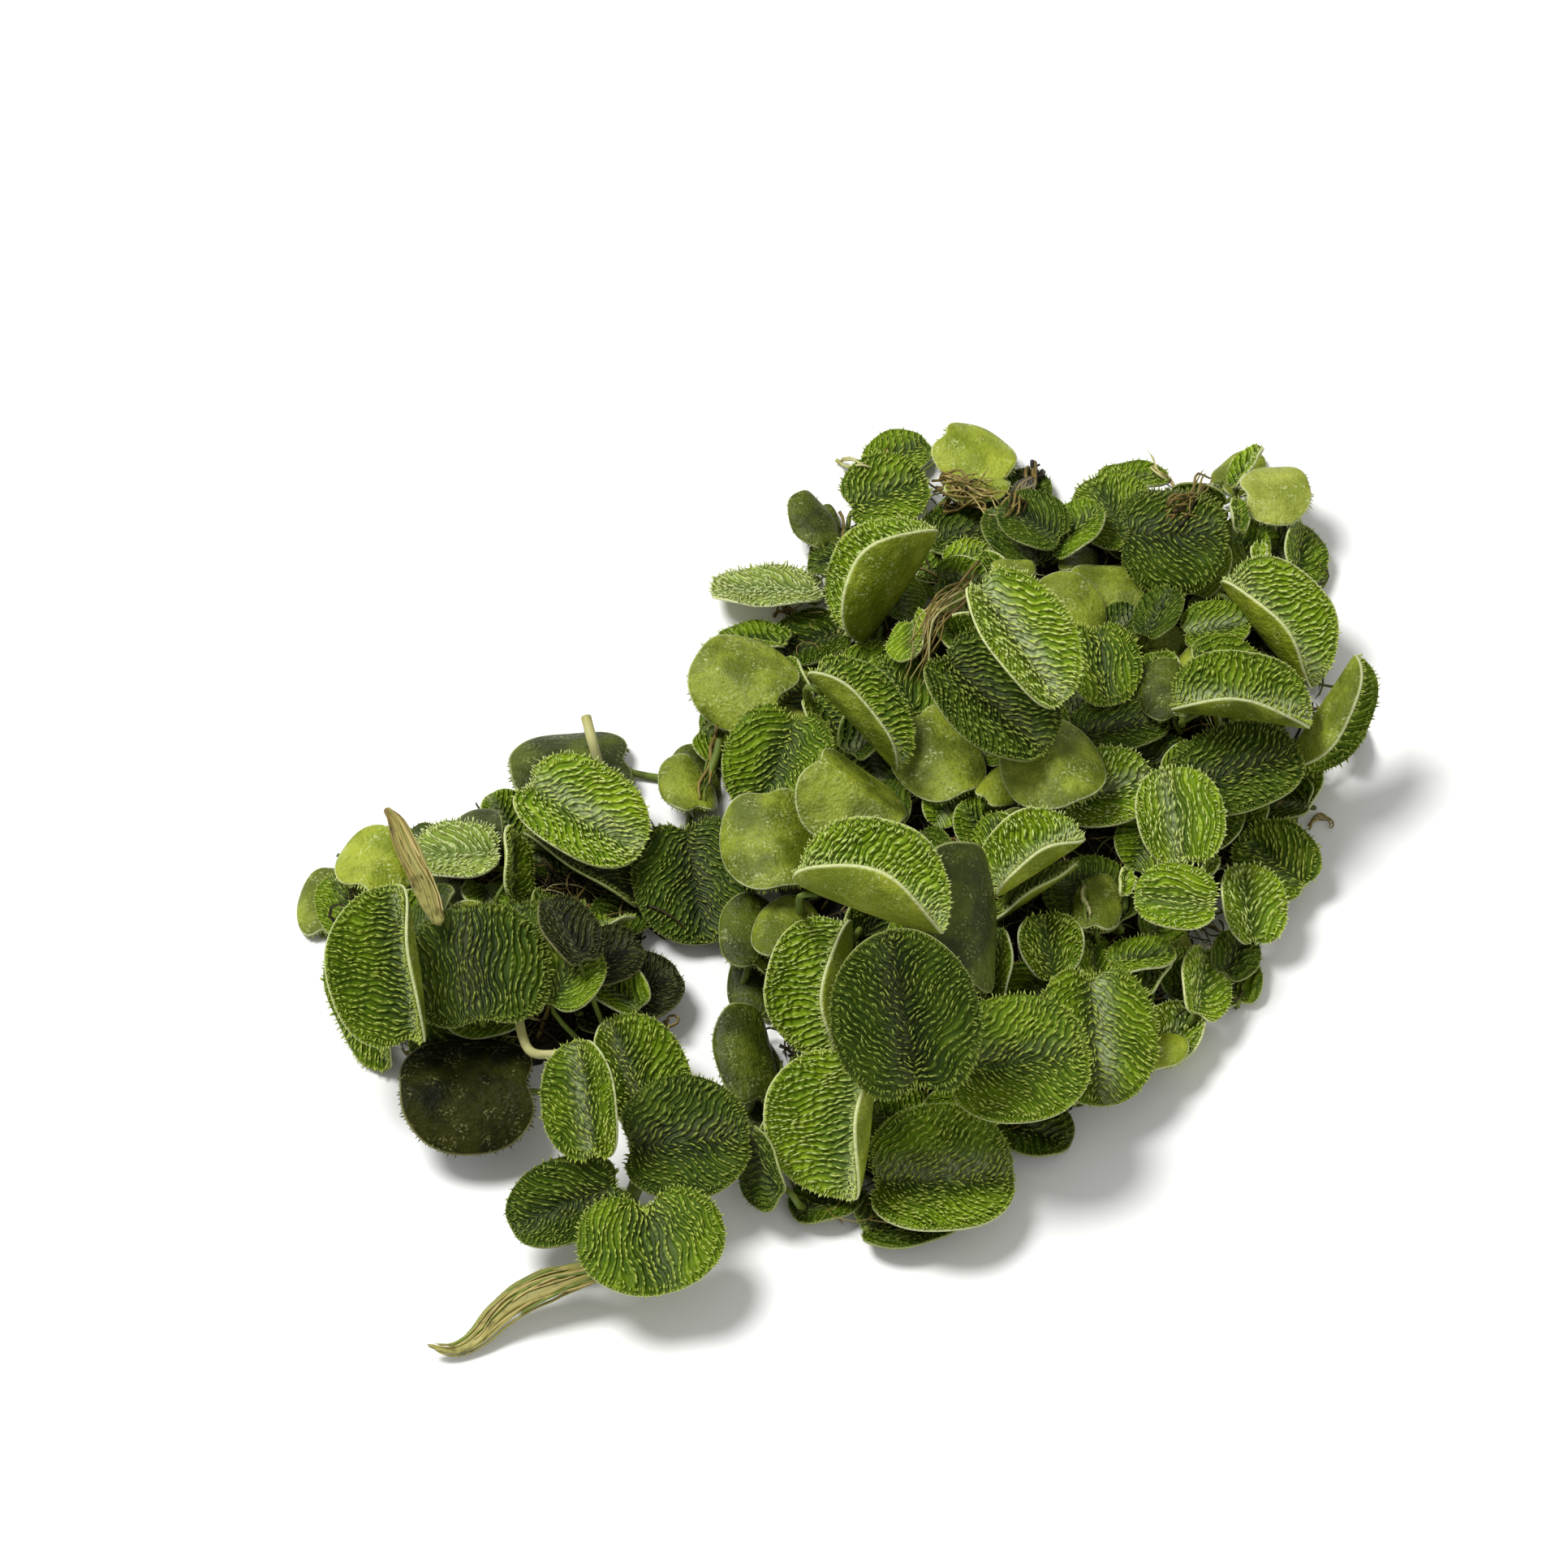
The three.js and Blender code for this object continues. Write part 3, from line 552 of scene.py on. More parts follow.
class Strands:
    """Many thin tapered strands, gathered as arrays and made into one mesh."""

    def __init__(self, sides: int = 3) -> None:
        """Starts an empty bundle.

        Args:
            sides: How many sides each strand has.
        """
        self.sides = sides
        self.points: list[np.ndarray] = []
        self.along: list[np.ndarray] = []
        self.faces: list[list[int]] = []
        self.slots: list[int] = []
        self.count = 0

    def add(self, paths: np.ndarray, radii: np.ndarray, slot: int = 0, flat: float = 1.0) -> None:
        """Adds strands that each end in a point.

        Args:
            paths: Each strand's points, as strands by points by 3.
            radii: The radius at each point but the last, for all strands or each.
            slot: The material number.
            flat: A strand's thickness, as a share of its width.
        """
        strands, length = paths.shape[:2]
        if strands == 0:
            return
        rings = length - 1
        radii = np.broadcast_to(radii, (strands, rings))
        way = unit(np.gradient(paths, axis=1))
        steep = np.abs(way[:, :1, 2]) > 0.9
        across = unit(np.cross(way[:, 0], np.where(steep, [[1.0, 0, 0]], [[0, 0, 1.0]])))
        turns = np.arange(self.sides) * math.tau / self.sides
        out = []
        for i in range(rings):
            ahead = way[:, i]
            across = unit(across - np.sum(across * ahead, axis=1, keepdims=True) * ahead)
            beside = np.cross(ahead, across)
            ring = across[:, None] * np.cos(turns)[:, None] + flat * beside[:, None] * np.sin(turns)[:, None]
            out.append(paths[:, i, None] + ring * radii[:, i, None, None])
        points = np.concatenate([*out, paths[:, -1:]], axis=1)
        share = np.append(np.repeat(np.arange(rings) / rings, self.sides), 1.0)
        self.points.append(points.reshape(-1, 3))
        self.along.append(np.tile(share, strands))
        self.faces += self.faces_of(strands, rings)
        self.slots += [slot] * (len(self.faces) - len(self.slots))
        self.count += strands * (rings * self.sides + 1)

    def thread(self, path: np.ndarray, radius: float, slot: int) -> None:
        """Adds one strand that thins to half before its tip."""
        self.add(path[None], radius * np.linspace(1, 0.5, len(path) - 1), slot)

    def faces_of(self, strands: int, rings: int) -> list[list[int]]:
        """The faces of new strands.

        Args:
            strands: How many strands there are.
            rings: How many rings each has before its tip.

        Returns:
            The faces' corners.
        """
        sides = self.sides
        tip = rings * sides
        pattern = [list(range(sides))[::-1]]
        for ring in range(rings - 1):
            for side in range(sides):
                beside = (side + 1) % sides
                low, high = ring * sides, (ring + 1) * sides
                pattern.append([low + side, low + beside, high + beside, high + side])
        pattern += [[tip - sides + i, tip - sides + (i + 1) % sides, tip] for i in range(sides)]
        starts = self.count + np.arange(strands) * (tip + 1)
        return [[start + corner for corner in face] for start in starts.tolist() for face in pattern]

    def piece(self, name: str, finishes: list[Finish], slot: str) -> bpy.types.Object:
        """Makes all the strands into one piece.

        Args:
            name: The piece's name.
            finishes: Its finishes.
            slot: The record's material slot, which is not used.

        Returns:
            The piece.
        """
        mesh = bpy.data.meshes.new(name)
        mesh.from_pydata((np.concatenate(self.points) * MM).tolist(), [], self.faces)
        mesh.polygons.foreach_set("material_index", self.slots)
        mesh.polygons.foreach_set("use_smooth", [True] * len(self.faces))
        mesh.attributes.new("along", "FLOAT", "POINT").data.foreach_set("value", np.concatenate(self.along))
        log.info("%s: %d faces", name, len(self.faces))
        return new_piece(name, mesh, finishes)


# Leaves

class Rows(Enum):
    """Which way a leaf's rows of hairs run, as how far they lean to the tip on their way to the rim."""

    ALONG = 0.0
    SLANTED = 1.0
    ACROSS = 0.3


@dataclass(frozen=True)
class Leaf:
    """One leaf as the picture shows it.

    The midrib runs from base to tip in the direction heading, with 0 to the right and 90 up the picture. The
    upper face is turned from the viewer by tilt, in the direction lean. Each half is folded up by fold at the
    crease and curls up by curl more on the way to its rim, and arch bends the midrib up towards both ends.
    A leaf with a node lies where the node is, and one without is seen at a pixel and lies on the roots.
    """

    heading: float
    tilt: float
    lean: float
    length: float
    width: float
    fold: float = 0.0
    curl: float = 0.0
    arch: float = 0.0
    node: str = ""
    seen: tuple[float, float] = (0.0, 0.0)
    tone: Tone = Tone.FRESH
    rows: Rows = Rows.SLANTED
    hair: float = 0.82
    notch: float = 0.22
    # How strong a painted silvery sheen beside the crease is; a negative value puts it on the other side.
    bloom: float = 0.1

    outline_power = 2.1
    notch_width = 0.34
    tip_notch = 0.04
    tip_notch_width = 0.3
    rim_wave = 0.15
    row_gap = 0.62
    fan = 1.5
    rim_waves = 5
    solid_thickness = 0.8
    thickness = 0.5
    rim_thinning = 0.55
    # How wide the painted shade along the crease is, as a share of the half width.
    crease_shade_width = 0.42
    bloom_place = 0.17
    crease = 0.05

    def rim_reach(self, angle: np.ndarray) -> np.ndarray:
        """How far the rim reaches in a direction, as a share of the half length or width.

        Args:
            angle: The direction, from the tip.

        Returns:
            The share.
        """
        across = np.abs(np.sin(angle)) ** self.outline_power
        along = np.abs(np.cos(angle)) ** self.outline_power
        from_tip = np.abs(angle)
        notch = self.notch * np.exp(-(((math.pi - from_tip) / self.notch_width) ** 2))
        notch += self.tip_notch * np.exp(-((from_tip / self.tip_notch_width) ** 2))
        return (along + across) ** (-1 / self.outline_power) * (1 - notch)

    def surface(self, disc_x: np.ndarray, disc_y: np.ndarray) -> np.ndarray:
        """Points of the blade's middle, from their places on a disc of radius one.

        Args:
            disc_x: Along the midrib, from base to tip.
            disc_y: Across it.

        Returns:
            The points: along the midrib, across it and out of the upper face.
        """
        from_middle = np.hypot(disc_x, disc_y)
        angle = np.arctan2(disc_y, disc_x)
        swell = 1 + (self.rim_reach(angle) - 1) * from_middle ** 2
        along = disc_x * swell * self.length / 2
        across = np.abs(disc_y * swell)
        soft = np.sqrt(across ** 2 + self.crease ** 2) - self.crease
        curl, start = math.radians(self.curl), math.radians(self.fold)
        over = arc_end(start, curl * across, across * self.width / 2)[0]
        up = arc_end(start, curl * soft, soft * self.width / 2)[1]
        up = up + self.rim_wave * from_middle ** 3 * np.sin(self.rim_waves * angle + self.length * self.width)
        bend = math.radians(self.arch) * 2 * along / self.length
        spine_over, spine_up = arc_end(0, bend, along)
        side = over * np.sign(disc_y)
        return np.stack([spine_over - up * np.sin(bend), side, spine_up + up * np.cos(bend)], axis=-1)

    def normals(self, disc_x: np.ndarray, disc_y: np.ndarray) -> np.ndarray:
        """Which way the upper face looks at places on the disc.

        Args:
            disc_x: Places on the disc, along the midrib.
            disc_y: Places on the disc, across it.

        Returns:
            A direction for each place, with a length of one.
        """
        step = 0.01
        along = self.surface(disc_x + step, disc_y) - self.surface(disc_x - step, disc_y)
        across = self.surface(disc_x, disc_y + step) - self.surface(disc_x, disc_y - step)
        return unit(np.cross(along, across))

    @property
    def turn(self) -> np.ndarray:
        """The directions of the midrib, the side and the upper face, as rows.

        Returns:
            The three directions.
        """
        tilt, lean, heading = (math.radians(a) for a in (self.tilt, self.lean, self.heading))
        face = np.array([math.sin(tilt) * math.cos(lean), math.sin(tilt) * math.sin(lean), math.cos(tilt)])
        midrib = np.array([math.cos(heading), math.sin(heading), 0])
        midrib[2] = -(midrib @ face) / face[2]
        midrib = unit(midrib)
        return np.array([midrib, np.cross(face, midrib), face]) @ VIEW.axes

    @property
    def shift(self) -> float:
        """A number of the leaf's own, to vary its patterns."""
        return (self.length * 7.3 + self.width * 3.1 + self.heading * 0.37) % 10

    def wander(self, along: np.ndarray, across: np.ndarray) -> np.ndarray:
        """How far the rows of hairs stray from their way at places of the leaf, in rows.

        Args:
            along: How far along the midrib each place lies.
            across: How far across it each lies.

        Returns:
            How far the rows stray at each place.
        """
        waves = ((0.5, 0.4, 0.5), (0.36, 0.95, -0.8), (0.22, 1.5, 2.0))
        return sum(
            high * np.sin(first * along + second * across + self.shift * (1 + 3 * high))
            for high, first, second in waves
        )

    def row_of(self, disc_x: np.ndarray, disc_y: np.ndarray) -> np.ndarray:
        """Which row of hairs a place lies on; the row through the leaf's middle is 0.

        Args:
            disc_x: Places on the disc, along the midrib.
            disc_y: Places on the disc, across it.

        Returns:
            Each place's row, with fractions between two rows.
        """
        along, across = disc_x * self.length / 2, disc_y * self.width / 2
        stray = self.wander(along, across)
        if self.rows is Rows.ALONG:
            far = self.fan * self.length
            return np.arctan2(across, along + far) * far / self.row_gap + stray
        slope = self.rows.value
        return (along - slope * np.abs(across)) / (self.row_gap * math.hypot(1, slope)) + stray

    def row_places(self, step: float) -> tuple[np.ndarray, np.ndarray, np.ndarray]:
        """Places along the rows of hairs.

        Args:
            step: How far apart they are along a row.

        Returns:
            Each place's row, and how far along the midrib and across it lies.
        """
        half_length, half_width = self.length / 2, self.width / 2
        if self.rows is Rows.ALONG:
            far = self.fan * self.length
            most = int(half_width * far / (far - half_length) / self.row_gap) + 1
            reach = np.arange(far - half_length, math.hypot(far + half_length, half_width), step)
            row, reach = (g.ravel() for g in np.meshgrid(np.arange(-most, most + 1), reach))
            angle = row * self.row_gap / far
            return row, np.cos(angle) * reach - far, np.sin(angle) * reach
        slope = self.rows.value
        gap = self.row_gap * math.hypot(1, slope)
        most = int((half_length + slope * half_width) / gap) + 1
        reach = np.arange(-half_width, half_width, step / math.hypot(1, slope))
        row, across = (g.ravel() for g in np.meshgrid(np.arange(-most, most + 1), reach))
        return row, row * gap + slope * np.abs(across), across

    def row_way(self, along: np.ndarray, across: np.ndarray) -> np.ndarray:
        """Which way the rows run at places of the leaf: along the midrib and across it.

        Args:
            along: How far along the midrib each place lies.
            across: How far across it each lies.

        Returns:
            A direction for each place, with a length of one.
        """
        if self.rows is Rows.ALONG:
            return unit(np.stack([along + self.fan * self.length, across], axis=-1))
        return unit(np.stack([np.full(along.size, self.rows.value), np.sign(across)], axis=-1))

    @classmethod
    def facing(cls, face: np.ndarray, midrib: np.ndarray, **values: object) -> "Leaf":
        """A leaf whose upper face and midrib point in given directions.

        Args:
            face: Where the upper face looks.
            midrib: Where the tip points.
            values: The leaf's other values.

        Returns:
            The leaf.
        """
        face = VIEW.axes @ unit(face)
        face[2] = math.copysign(max(abs(face[2]), 0.1), face[2])
        face, midrib = unit(face), VIEW.axes @ midrib
        midrib = midrib - face * (midrib @ face)
        tilt = math.degrees(math.acos(face[2]))
        lean = math.degrees(math.atan2(face[1], face[0]))
        heading = math.degrees(math.atan2(midrib[1], midrib[0]))
        return cls(heading=heading, tilt=tilt, lean=lean, **values)


class Blade:
    """A leaf in its place, as a mesh with a rounded rim."""

    def __init__(self, leaf: Leaf, cells: int) -> None:
        """Works out where the leaf lies.

        Args:
            leaf: The leaf.
            cells: How finely its blade is parted.
        """
        self.leaf = leaf
        self.cells = cells
        self.place = np.zeros(3)
        if leaf.node:
            low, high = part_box(leaf.node)
            self.place = np.array(low + high) / 2 / MM - self.middle()

    def middle(self) -> np.ndarray:
        """The middle of the box round the leaf's solid, before it has a place.

        Returns:
            The point.
        """
        disc_x, disc_y = self.spots(13)
        points = self.at(disc_x, disc_y)
        out = self.facing(disc_x, disc_y) * self.leaf.solid_thickness / 2
        points = np.vstack([points + out, points - out])
        return (points.min(axis=0) + points.max(axis=0)) / 2

    @staticmethod
    def disc(grid_x: np.ndarray, grid_y: np.ndarray) -> tuple[np.ndarray, np.ndarray]:
        """Places on a disc, from places on a square."""
        return grid_x * np.sqrt(1 - grid_y ** 2 / 2), grid_y * np.sqrt(1 - grid_x ** 2 / 2)

    def spots(self, count: int) -> tuple[np.ndarray, np.ndarray]:
        """Places spread over the disc, count of them each way."""
        steps = np.linspace(-1, 1, count)
        return self.disc(*(g.ravel() for g in np.meshgrid(steps, steps)))

    def at(self, disc_x: np.ndarray, disc_y: np.ndarray) -> np.ndarray:
        """Points of the blade's middle, in place."""
        return self.leaf.surface(disc_x, disc_y) @ self.leaf.turn + self.place

    def facing(self, disc_x: np.ndarray, disc_y: np.ndarray) -> np.ndarray:
        """Which way the upper face looks, in place."""
        return self.leaf.normals(disc_x, disc_y) @ self.leaf.turn

    def thickness(self, from_middle: np.ndarray) -> np.ndarray:
        """How thick the blade is, less at its rim."""
        return self.leaf.thickness * (1 - self.leaf.rim_thinning * from_middle ** 8)

    def build(self, bm: bmesh.types.BMesh, first_slot: int) -> None:
        """Adds the blade to a mesh.

        Args:
            bm: The mesh.
            first_slot: The material number of the upper face; the underside's is the next.
        """
        leaf = self.leaf
        vectors, numbers = bm.verts.layers.float_vector, bm.verts.layers.float
        weave = vectors.get("weave") or vectors.new("weave")
        crease_shade = numbers.get("crease_shade") or numbers.new("crease_shade")
        old_faces = len(bm.faces)
        grid = bmesh.ops.create_grid(bm, x_segments=self.cells, y_segments=self.cells, size=1)["verts"]
        faces = list({face for vert in grid for face in vert.link_faces})
        top = bmesh.ops.extrude_face_region(bm, geom=faces, use_keep_orig=True)["geom"]
        upper = [item for item in top if isinstance(item, bmesh.types.BMVert)]
        for verts, side in ((grid, -0.5), (upper, 0.5)):
            flat = np.array([v.co for v in verts])
            disc_x, disc_y = self.disc(flat[:, 0], flat[:, 1])
            from_middle = np.hypot(disc_x, disc_y)
            points = self.at(disc_x, disc_y)
            points += self.facing(disc_x, disc_y) * (side * self.thickness(from_middle))[:, None]
            rows = leaf.row_of(disc_x, disc_y)
            # Painted shade along the crease: strongest at the midrib, less towards the rim.
            deep = np.exp(-((disc_y / leaf.crease_shade_width) ** 2)) * (1 - 0.6 * from_middle ** 3)
            # A band of painted silvery sheen beside the crease, on the side that its sign picks.
            beside = disc_y * np.sign(leaf.bloom) - leaf.bloom_place
            bloom = abs(leaf.bloom) * np.exp(-((beside / leaf.bloom_place) ** 2))
            values = zip(rows, bloom, from_middle)
            for vert, point, woven, low in zip(verts, (points * MM).tolist(), values, deep.tolist()):
                vert.co = point
                vert[weave] = woven
                vert[crease_shade] = low
        bm.faces.ensure_lookup_table()
        on_top = set(upper)
        new_faces = bm.faces[old_faces:]
        for face in new_faces:
            face.smooth = True
            face.material_index = first_slot + (not all(v in on_top for v in face.verts))
        bmesh.ops.recalc_face_normals(bm, faces=new_faces)

    def outline(self, count: int = 17, lift: float = 0.0) -> tuple[np.ndarray, list[tuple[int, ...]]]:
        """The blade as a coarse sheet, to test other pieces against.

        Args:
            count: How many points it has each way.
            lift: How far the sheet lies above the blade's middle.

        Returns:
            Its points and its faces.
        """
        disc_x, disc_y = self.spots(count)
        faces = [
            (i, i + 1, i + count + 1, i + count)
            for i in range(count * (count - 1)) if (i + 1) % count
        ]
        return self.at(disc_x, disc_y) + self.facing(disc_x, disc_y) * lift, faces


@dataclass(frozen=True)
class HairCoat:
    """Short pale hairs in rows over a leaf's upper face, and stitched rings of them along its rim.

    The hairs go into strands, none of them pierces a surface of tree, and chance varies them.
    """

    strands: Strands
    tree: BVHTree
    chance: np.random.Generator
    step: float = 0.62
    radius: float = 0.1
    blunt: bool = True
    lean: float = 2.2
    stray: float = 0.24
    missing: float = 0.12
    stitch: float = 0.42
    ring_gap: float = 0.6
    rings: int = 2

    look_ahead = 0.3
    nudge = 0.02
    foot_depth = 0.4
    rim_foot_depth = 0.2
    rim_rise = 0.75
    rim_stray = 0.28
    outermost = 0.985
    ring_length = 0.8
    usual_length = 0.7
    clear_from = 0.35
    clear_to = 0.8
    bend_at = 0.55
    bend_out = 0.16
    sharp_width = 1.3

    def grow(self, blade: Blade) -> None:
        """Adds the hairs of a leaf in its place.

        Args:
            blade: The leaf.
        """
        leaf, chance = blade.leaf, self.chance
        row, along, across = leaf.row_places(self.step)
        way = leaf.row_way(along, across)
        spot = np.stack([along, across], axis=-1) + way * chance.uniform(-0.5, 0.5, (row.size, 1)) * self.step
        side = leaf.row_gap * (-1 if leaf.rows is Rows.ALONG else np.sign(across))
        beside = way[:, ::-1] * [-1, 1]
        sway = side * leaf.wander(*spot.T)
        turn = side * leaf.wander(*(spot + way * self.look_ahead).T) - sway
        spot += beside * sway[:, None]
        way = unit(way * self.look_ahead + beside * turn[:, None])
        place = spot * 2 / [leaf.length, leaf.width]
        small = min(leaf.length, leaf.width)
        inside = np.hypot(place[:, 0], place[:, 1]) < 1 - 2 * self.ring_gap * (self.rings - 0.6) / small
        inside &= chance.random(row.size) > self.missing
        place, way = place[inside], way[inside]
        count = len(place)
        out = blade.facing(place[:, 0], place[:, 1])
        foot = blade.at(place[:, 0], place[:, 1]) + out * leaf.thickness * self.foot_depth
        ahead = unit(blade.at(*(place + way * self.nudge).T) - blade.at(*place.T))
        slope = self.lean * chance.uniform(0.7, 1.3, (count, 1))
        length = leaf.hair * chance.uniform(0.7, 1.25, (count, 1))
        grown = unit(out + ahead * slope + chance.normal(0, self.stray, (count, 3)))
        self.gather(foot, foot + grown * length, out, leaf.tone)
        for ring in range(self.rings):
            self.sew(blade, ring)

    def sew(self, blade: Blade, ring: int) -> None:
        """Adds a ring of hairs that point to the rim.

        Args:
            blade: The leaf.
            ring: Which ring it is, from the rim inwards.
        """
        leaf, chance = blade.leaf, self.chance
        small = min(leaf.length, leaf.width)
        gap = self.stitch * (1 if ring else 0.75)
        around = np.arange(-math.pi, math.pi, 2 * gap / math.sqrt(leaf.length * leaf.width))
        around = around + chance.uniform(-0.8, 0.8, around.size) * gap / small
        share = self.outermost - 2 * self.ring_gap * (ring + chance.uniform(0, 0.35, around.size)) / small
        disc_x, disc_y = np.cos(around) * share, np.sin(around) * share
        out = blade.facing(disc_x, disc_y)
        middle = blade.at(disc_x, disc_y)
        foot = middle + out * leaf.thickness * (self.foot_depth if ring else self.rim_foot_depth)
        ahead = unit(blade.at(disc_x * (1 + self.nudge), disc_y * (1 + self.nudge)) - middle)
        rise = 1 / self.lean if ring else self.rim_rise
        way = unit(out * rise + ahead + chance.normal(0, self.rim_stray, (around.size, 3)))
        length = leaf.hair * chance.uniform(0.6, 1.1, (around.size, 1)) * self.ring_length
        self.gather(foot, foot + way * length, out, leaf.tone)

    def gather(self, foot: np.ndarray, tip: np.ndarray, out: np.ndarray, tone: Tone) -> None:
        """Adds the hairs that have room, bent towards the blade.

        Args:
            foot: Where each hair starts.
            tip: Where each ends.
            out: Where the blade faces at each.
            tone: The leaf's tone.
        """
        way = tip - foot
        length = np.linalg.norm(way, axis=1)
        clear = np.array([
            end[2] > self.radius * 1.5
            and self.tree.ray_cast(Vector(start), Vector(ahead), self.clear_to * far)[0] is None
            for start, ahead, end, far in zip(foot + way * self.clear_from, way, tip, length)
        ], bool)
        size = self.radius * np.clip(length[clear] / self.usual_length, 0.7, 1.2)[:, None]
        if self.blunt:
            bend = foot + way * self.bend_at + out * length[:, None] * self.bend_out
            paths = np.stack([foot, bend, tip], axis=1)[clear]
            self.strands.add(paths, size * [1, 0.9], TONES.index(tone))
        else:
            self.strands.add(np.stack([foot, tip], axis=1)[clear], size * self.sharp_width, TONES.index(tone))


@dataclass(frozen=True)
class LeafCluster:
    """Leaves that lie together, each a piece of its own, with all their hairs in one piece."""

    name: str
    leaves: tuple[Leaf, ...]
    cells: int = 36
    small_cells: int = 24
    long_leaf: float = 10.0

    def blades(self) -> list[Blade]:
        """The cluster's leaves in their places.

        Returns:
            The blades.
        """
        return [
            Blade(leaf, self.cells if leaf.length >= self.long_leaf else self.small_cells)
            for leaf in self.leaves
        ]

    def build(self, blades: list[Blade], tree: BVHTree) -> None:
        """Makes every blade and the hairs on them.

        Args:
            blades: The leaves in their places.
            tree: All blades of the heap.
        """
        hairs = Strands()
        coat = HairCoat(hairs, tree, np.random.default_rng(SEED + len(self.name)))
        for blade in blades:
            leaf = blade.leaf
            bm = bmesh.new()
            blade.build(bm, 0)
            mesh = mesh_of(bm, leaf.node + "_blade")
            piece = new_piece(mesh.name, mesh, [UPPERS[leaf.tone], UNDERS[leaf.tone]])
            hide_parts(leaf.node)
            coat.grow(blade)
            log.info("%s", piece.name)
        hairs.piece(self.name + "_hairs", list(HAIRS.values()), "leaf")


def broad(node: str, *shape: float, **values: object) -> Leaf:
    """The leaf of a node, from its heading, tilt, lean, length, width, fold, curl and arch."""
    return Leaf(*shape, node=node, **values)


SPRAY = LeafCluster("spray", (
    broad("spray_leaf_1", 112, 26, 24, 12.4, 10.6, 32, bloom=0.7),
    broad("spray_leaf_4", 5, 24, 90, 12.4, 12.6, 12, tone=DEEP),
    broad("spray_leaf_3", 202, 28, 90, 12, 9, 15, tone=DEEP),
    broad("spray_leaf_5", 280, 24, 90, 11, 13.6, 12, -14, rows=Rows.ALONG, notch=0.42),
    broad("spray_leaf_2", 98, 24, 190, 11.8, 9.4, 36, bloom=0.7),
))
LEFT = LeafCluster("left_cluster", (
    broad("left_leaf_1", 186, 142, 268, 12.4, 10.6, 6, 26, tone=DEEP),
    broad("left_leaf_2", 60, 150, 270, 7.8, 8.4, 8, 34, tone=SUNNY),
    broad("left_leaf_3", 182, 48, 92, 8.8, 8, 10, tone=PALE),
    broad("left_leaf_4", 182, 148, 268, 13.4, 13.6, 6, 34, tone=WET_AND_SHADED),
    broad("left_leaf_5", -80, 22, 100, 13.4, 12, 13, tone=DEEP),
    broad("left_leaf_6", -32, 34, 66, 13.8, 11.6, 20, tone=SUNNY, bloom=0.7),
    broad("left_leaf_7", 95, 22, 90, 12.8, 14, 8, -44, tone=DEEP, rows=Rows.ALONG),
    broad("left_leaf_8", -66, 52, 195, 13.4, 7, 20, bloom=0.5),
    broad("left_boat", 98, 36, 186, 16.2, 16, 28, 46, 6, bloom=-1.0, rows=Rows.ACROSS),
))
BACK = LeafCluster("back", (
    broad("back_leaf_1", -30, 148, 265, 8.6, 7.4, 6, 28, tone=SUNNY),
    broad("back_leaf_2", 20, 26, 90, 8.8, 8.4, 14),
    broad("back_leaf_3", 180, 64, 90, 11.6, 9, 8, tone=PALE),
    broad("back_leaf_4", 10, 146, 270, 7, 7.4, 6, 26, tone=PALE),
    broad("back_leaf_5", 120, 26, 95, 8.8, 8, 14),
    broad("back_leaf_6", 0, 26, 90, 10.8, 12, 8, -50, tone=DEEP),
    broad("back_boat", 55, 76, 146, 14.4, 18, 25, 60, 8, tone=SUNNY, rows=Rows.ACROSS),
))
RIGHT = LeafCluster("right_flank", (
    broad("right_leaf_1", 56, 72, -36, 13.4, 11.6, 25, 50),
    broad("right_boat_1", -50, 52, 40, 14.8, 15, 25, 55, 6, tone=SUNNY, bloom=0.7, rows=Rows.ACROSS),
    broad("right_boat_2", -7, 54, 84, 14, 12.8, 25, 48, -8, bloom=1.0, rows=Rows.ACROSS),
    broad("right_leaf_2", 16, 30, 90, 13, 9.8, 14, tone=DEEP),
    broad("right_leaf_3", 100, 26, 40, 8.4, 7.6, 30, tone=SUNNY),
    broad("right_leaf_4", 140, 24, 80, 8.6, 8.2, 10),
    broad("right_leaf_5", 15, 24, 100, 9.6, 9, 25, tone=SUNNY, bloom=0.7),
    broad("right_leaf_6", 100, 16, 50, 10, 9.4, 25, tone=SUNNY, bloom=0.7, rows=Rows.ALONG),
    broad("right_leaf_7", 174, 26, 84, 8.2, 7, 14, tone=SUNNY, rows=Rows.ALONG),
    broad("right_cup_1", 60, 24, 110, 7.6, 8.4, 35, 25, 20, tone=SUNNY, bloom=0.5),
    broad("right_leaf_8", -86, 20, 50, 14, 11.8, 28, -30, bloom=0.7),
))
MIDDLE = LeafCluster("middle", (
    broad("middle_leaf_1", -60, 150, 262, 10.6, 9.4, 8, 34),
    broad("middle_leaf_2", 80, 142, 260, 9.4, 9.2, 8, 34),
    broad("middle_leaf_3", -80, 24, 60, 8.8, 8, 20, rows=Rows.ALONG),
    broad("middle_leaf_4", -60, 148, 265, 10.2, 10.6, 10, 30),
    broad("middle_leaf_5", -45, 32, 56, 14.6, 12.4, 30, -24, tone=DEEP),
    broad("middle_leaf_6", -56, 36, 36, 15, 11.4, 36, -12, tone=SUNNY, bloom=1.0),
    broad("middle_boat_1", 33, 52, 124, 10.6, 11.4, 25, 55, tone=SUNNY, bloom=0.7, rows=Rows.ACROSS),
    broad("middle_cup_1", 96, 24, 86, 7.6, 8.6, 34, 22, 16),
))
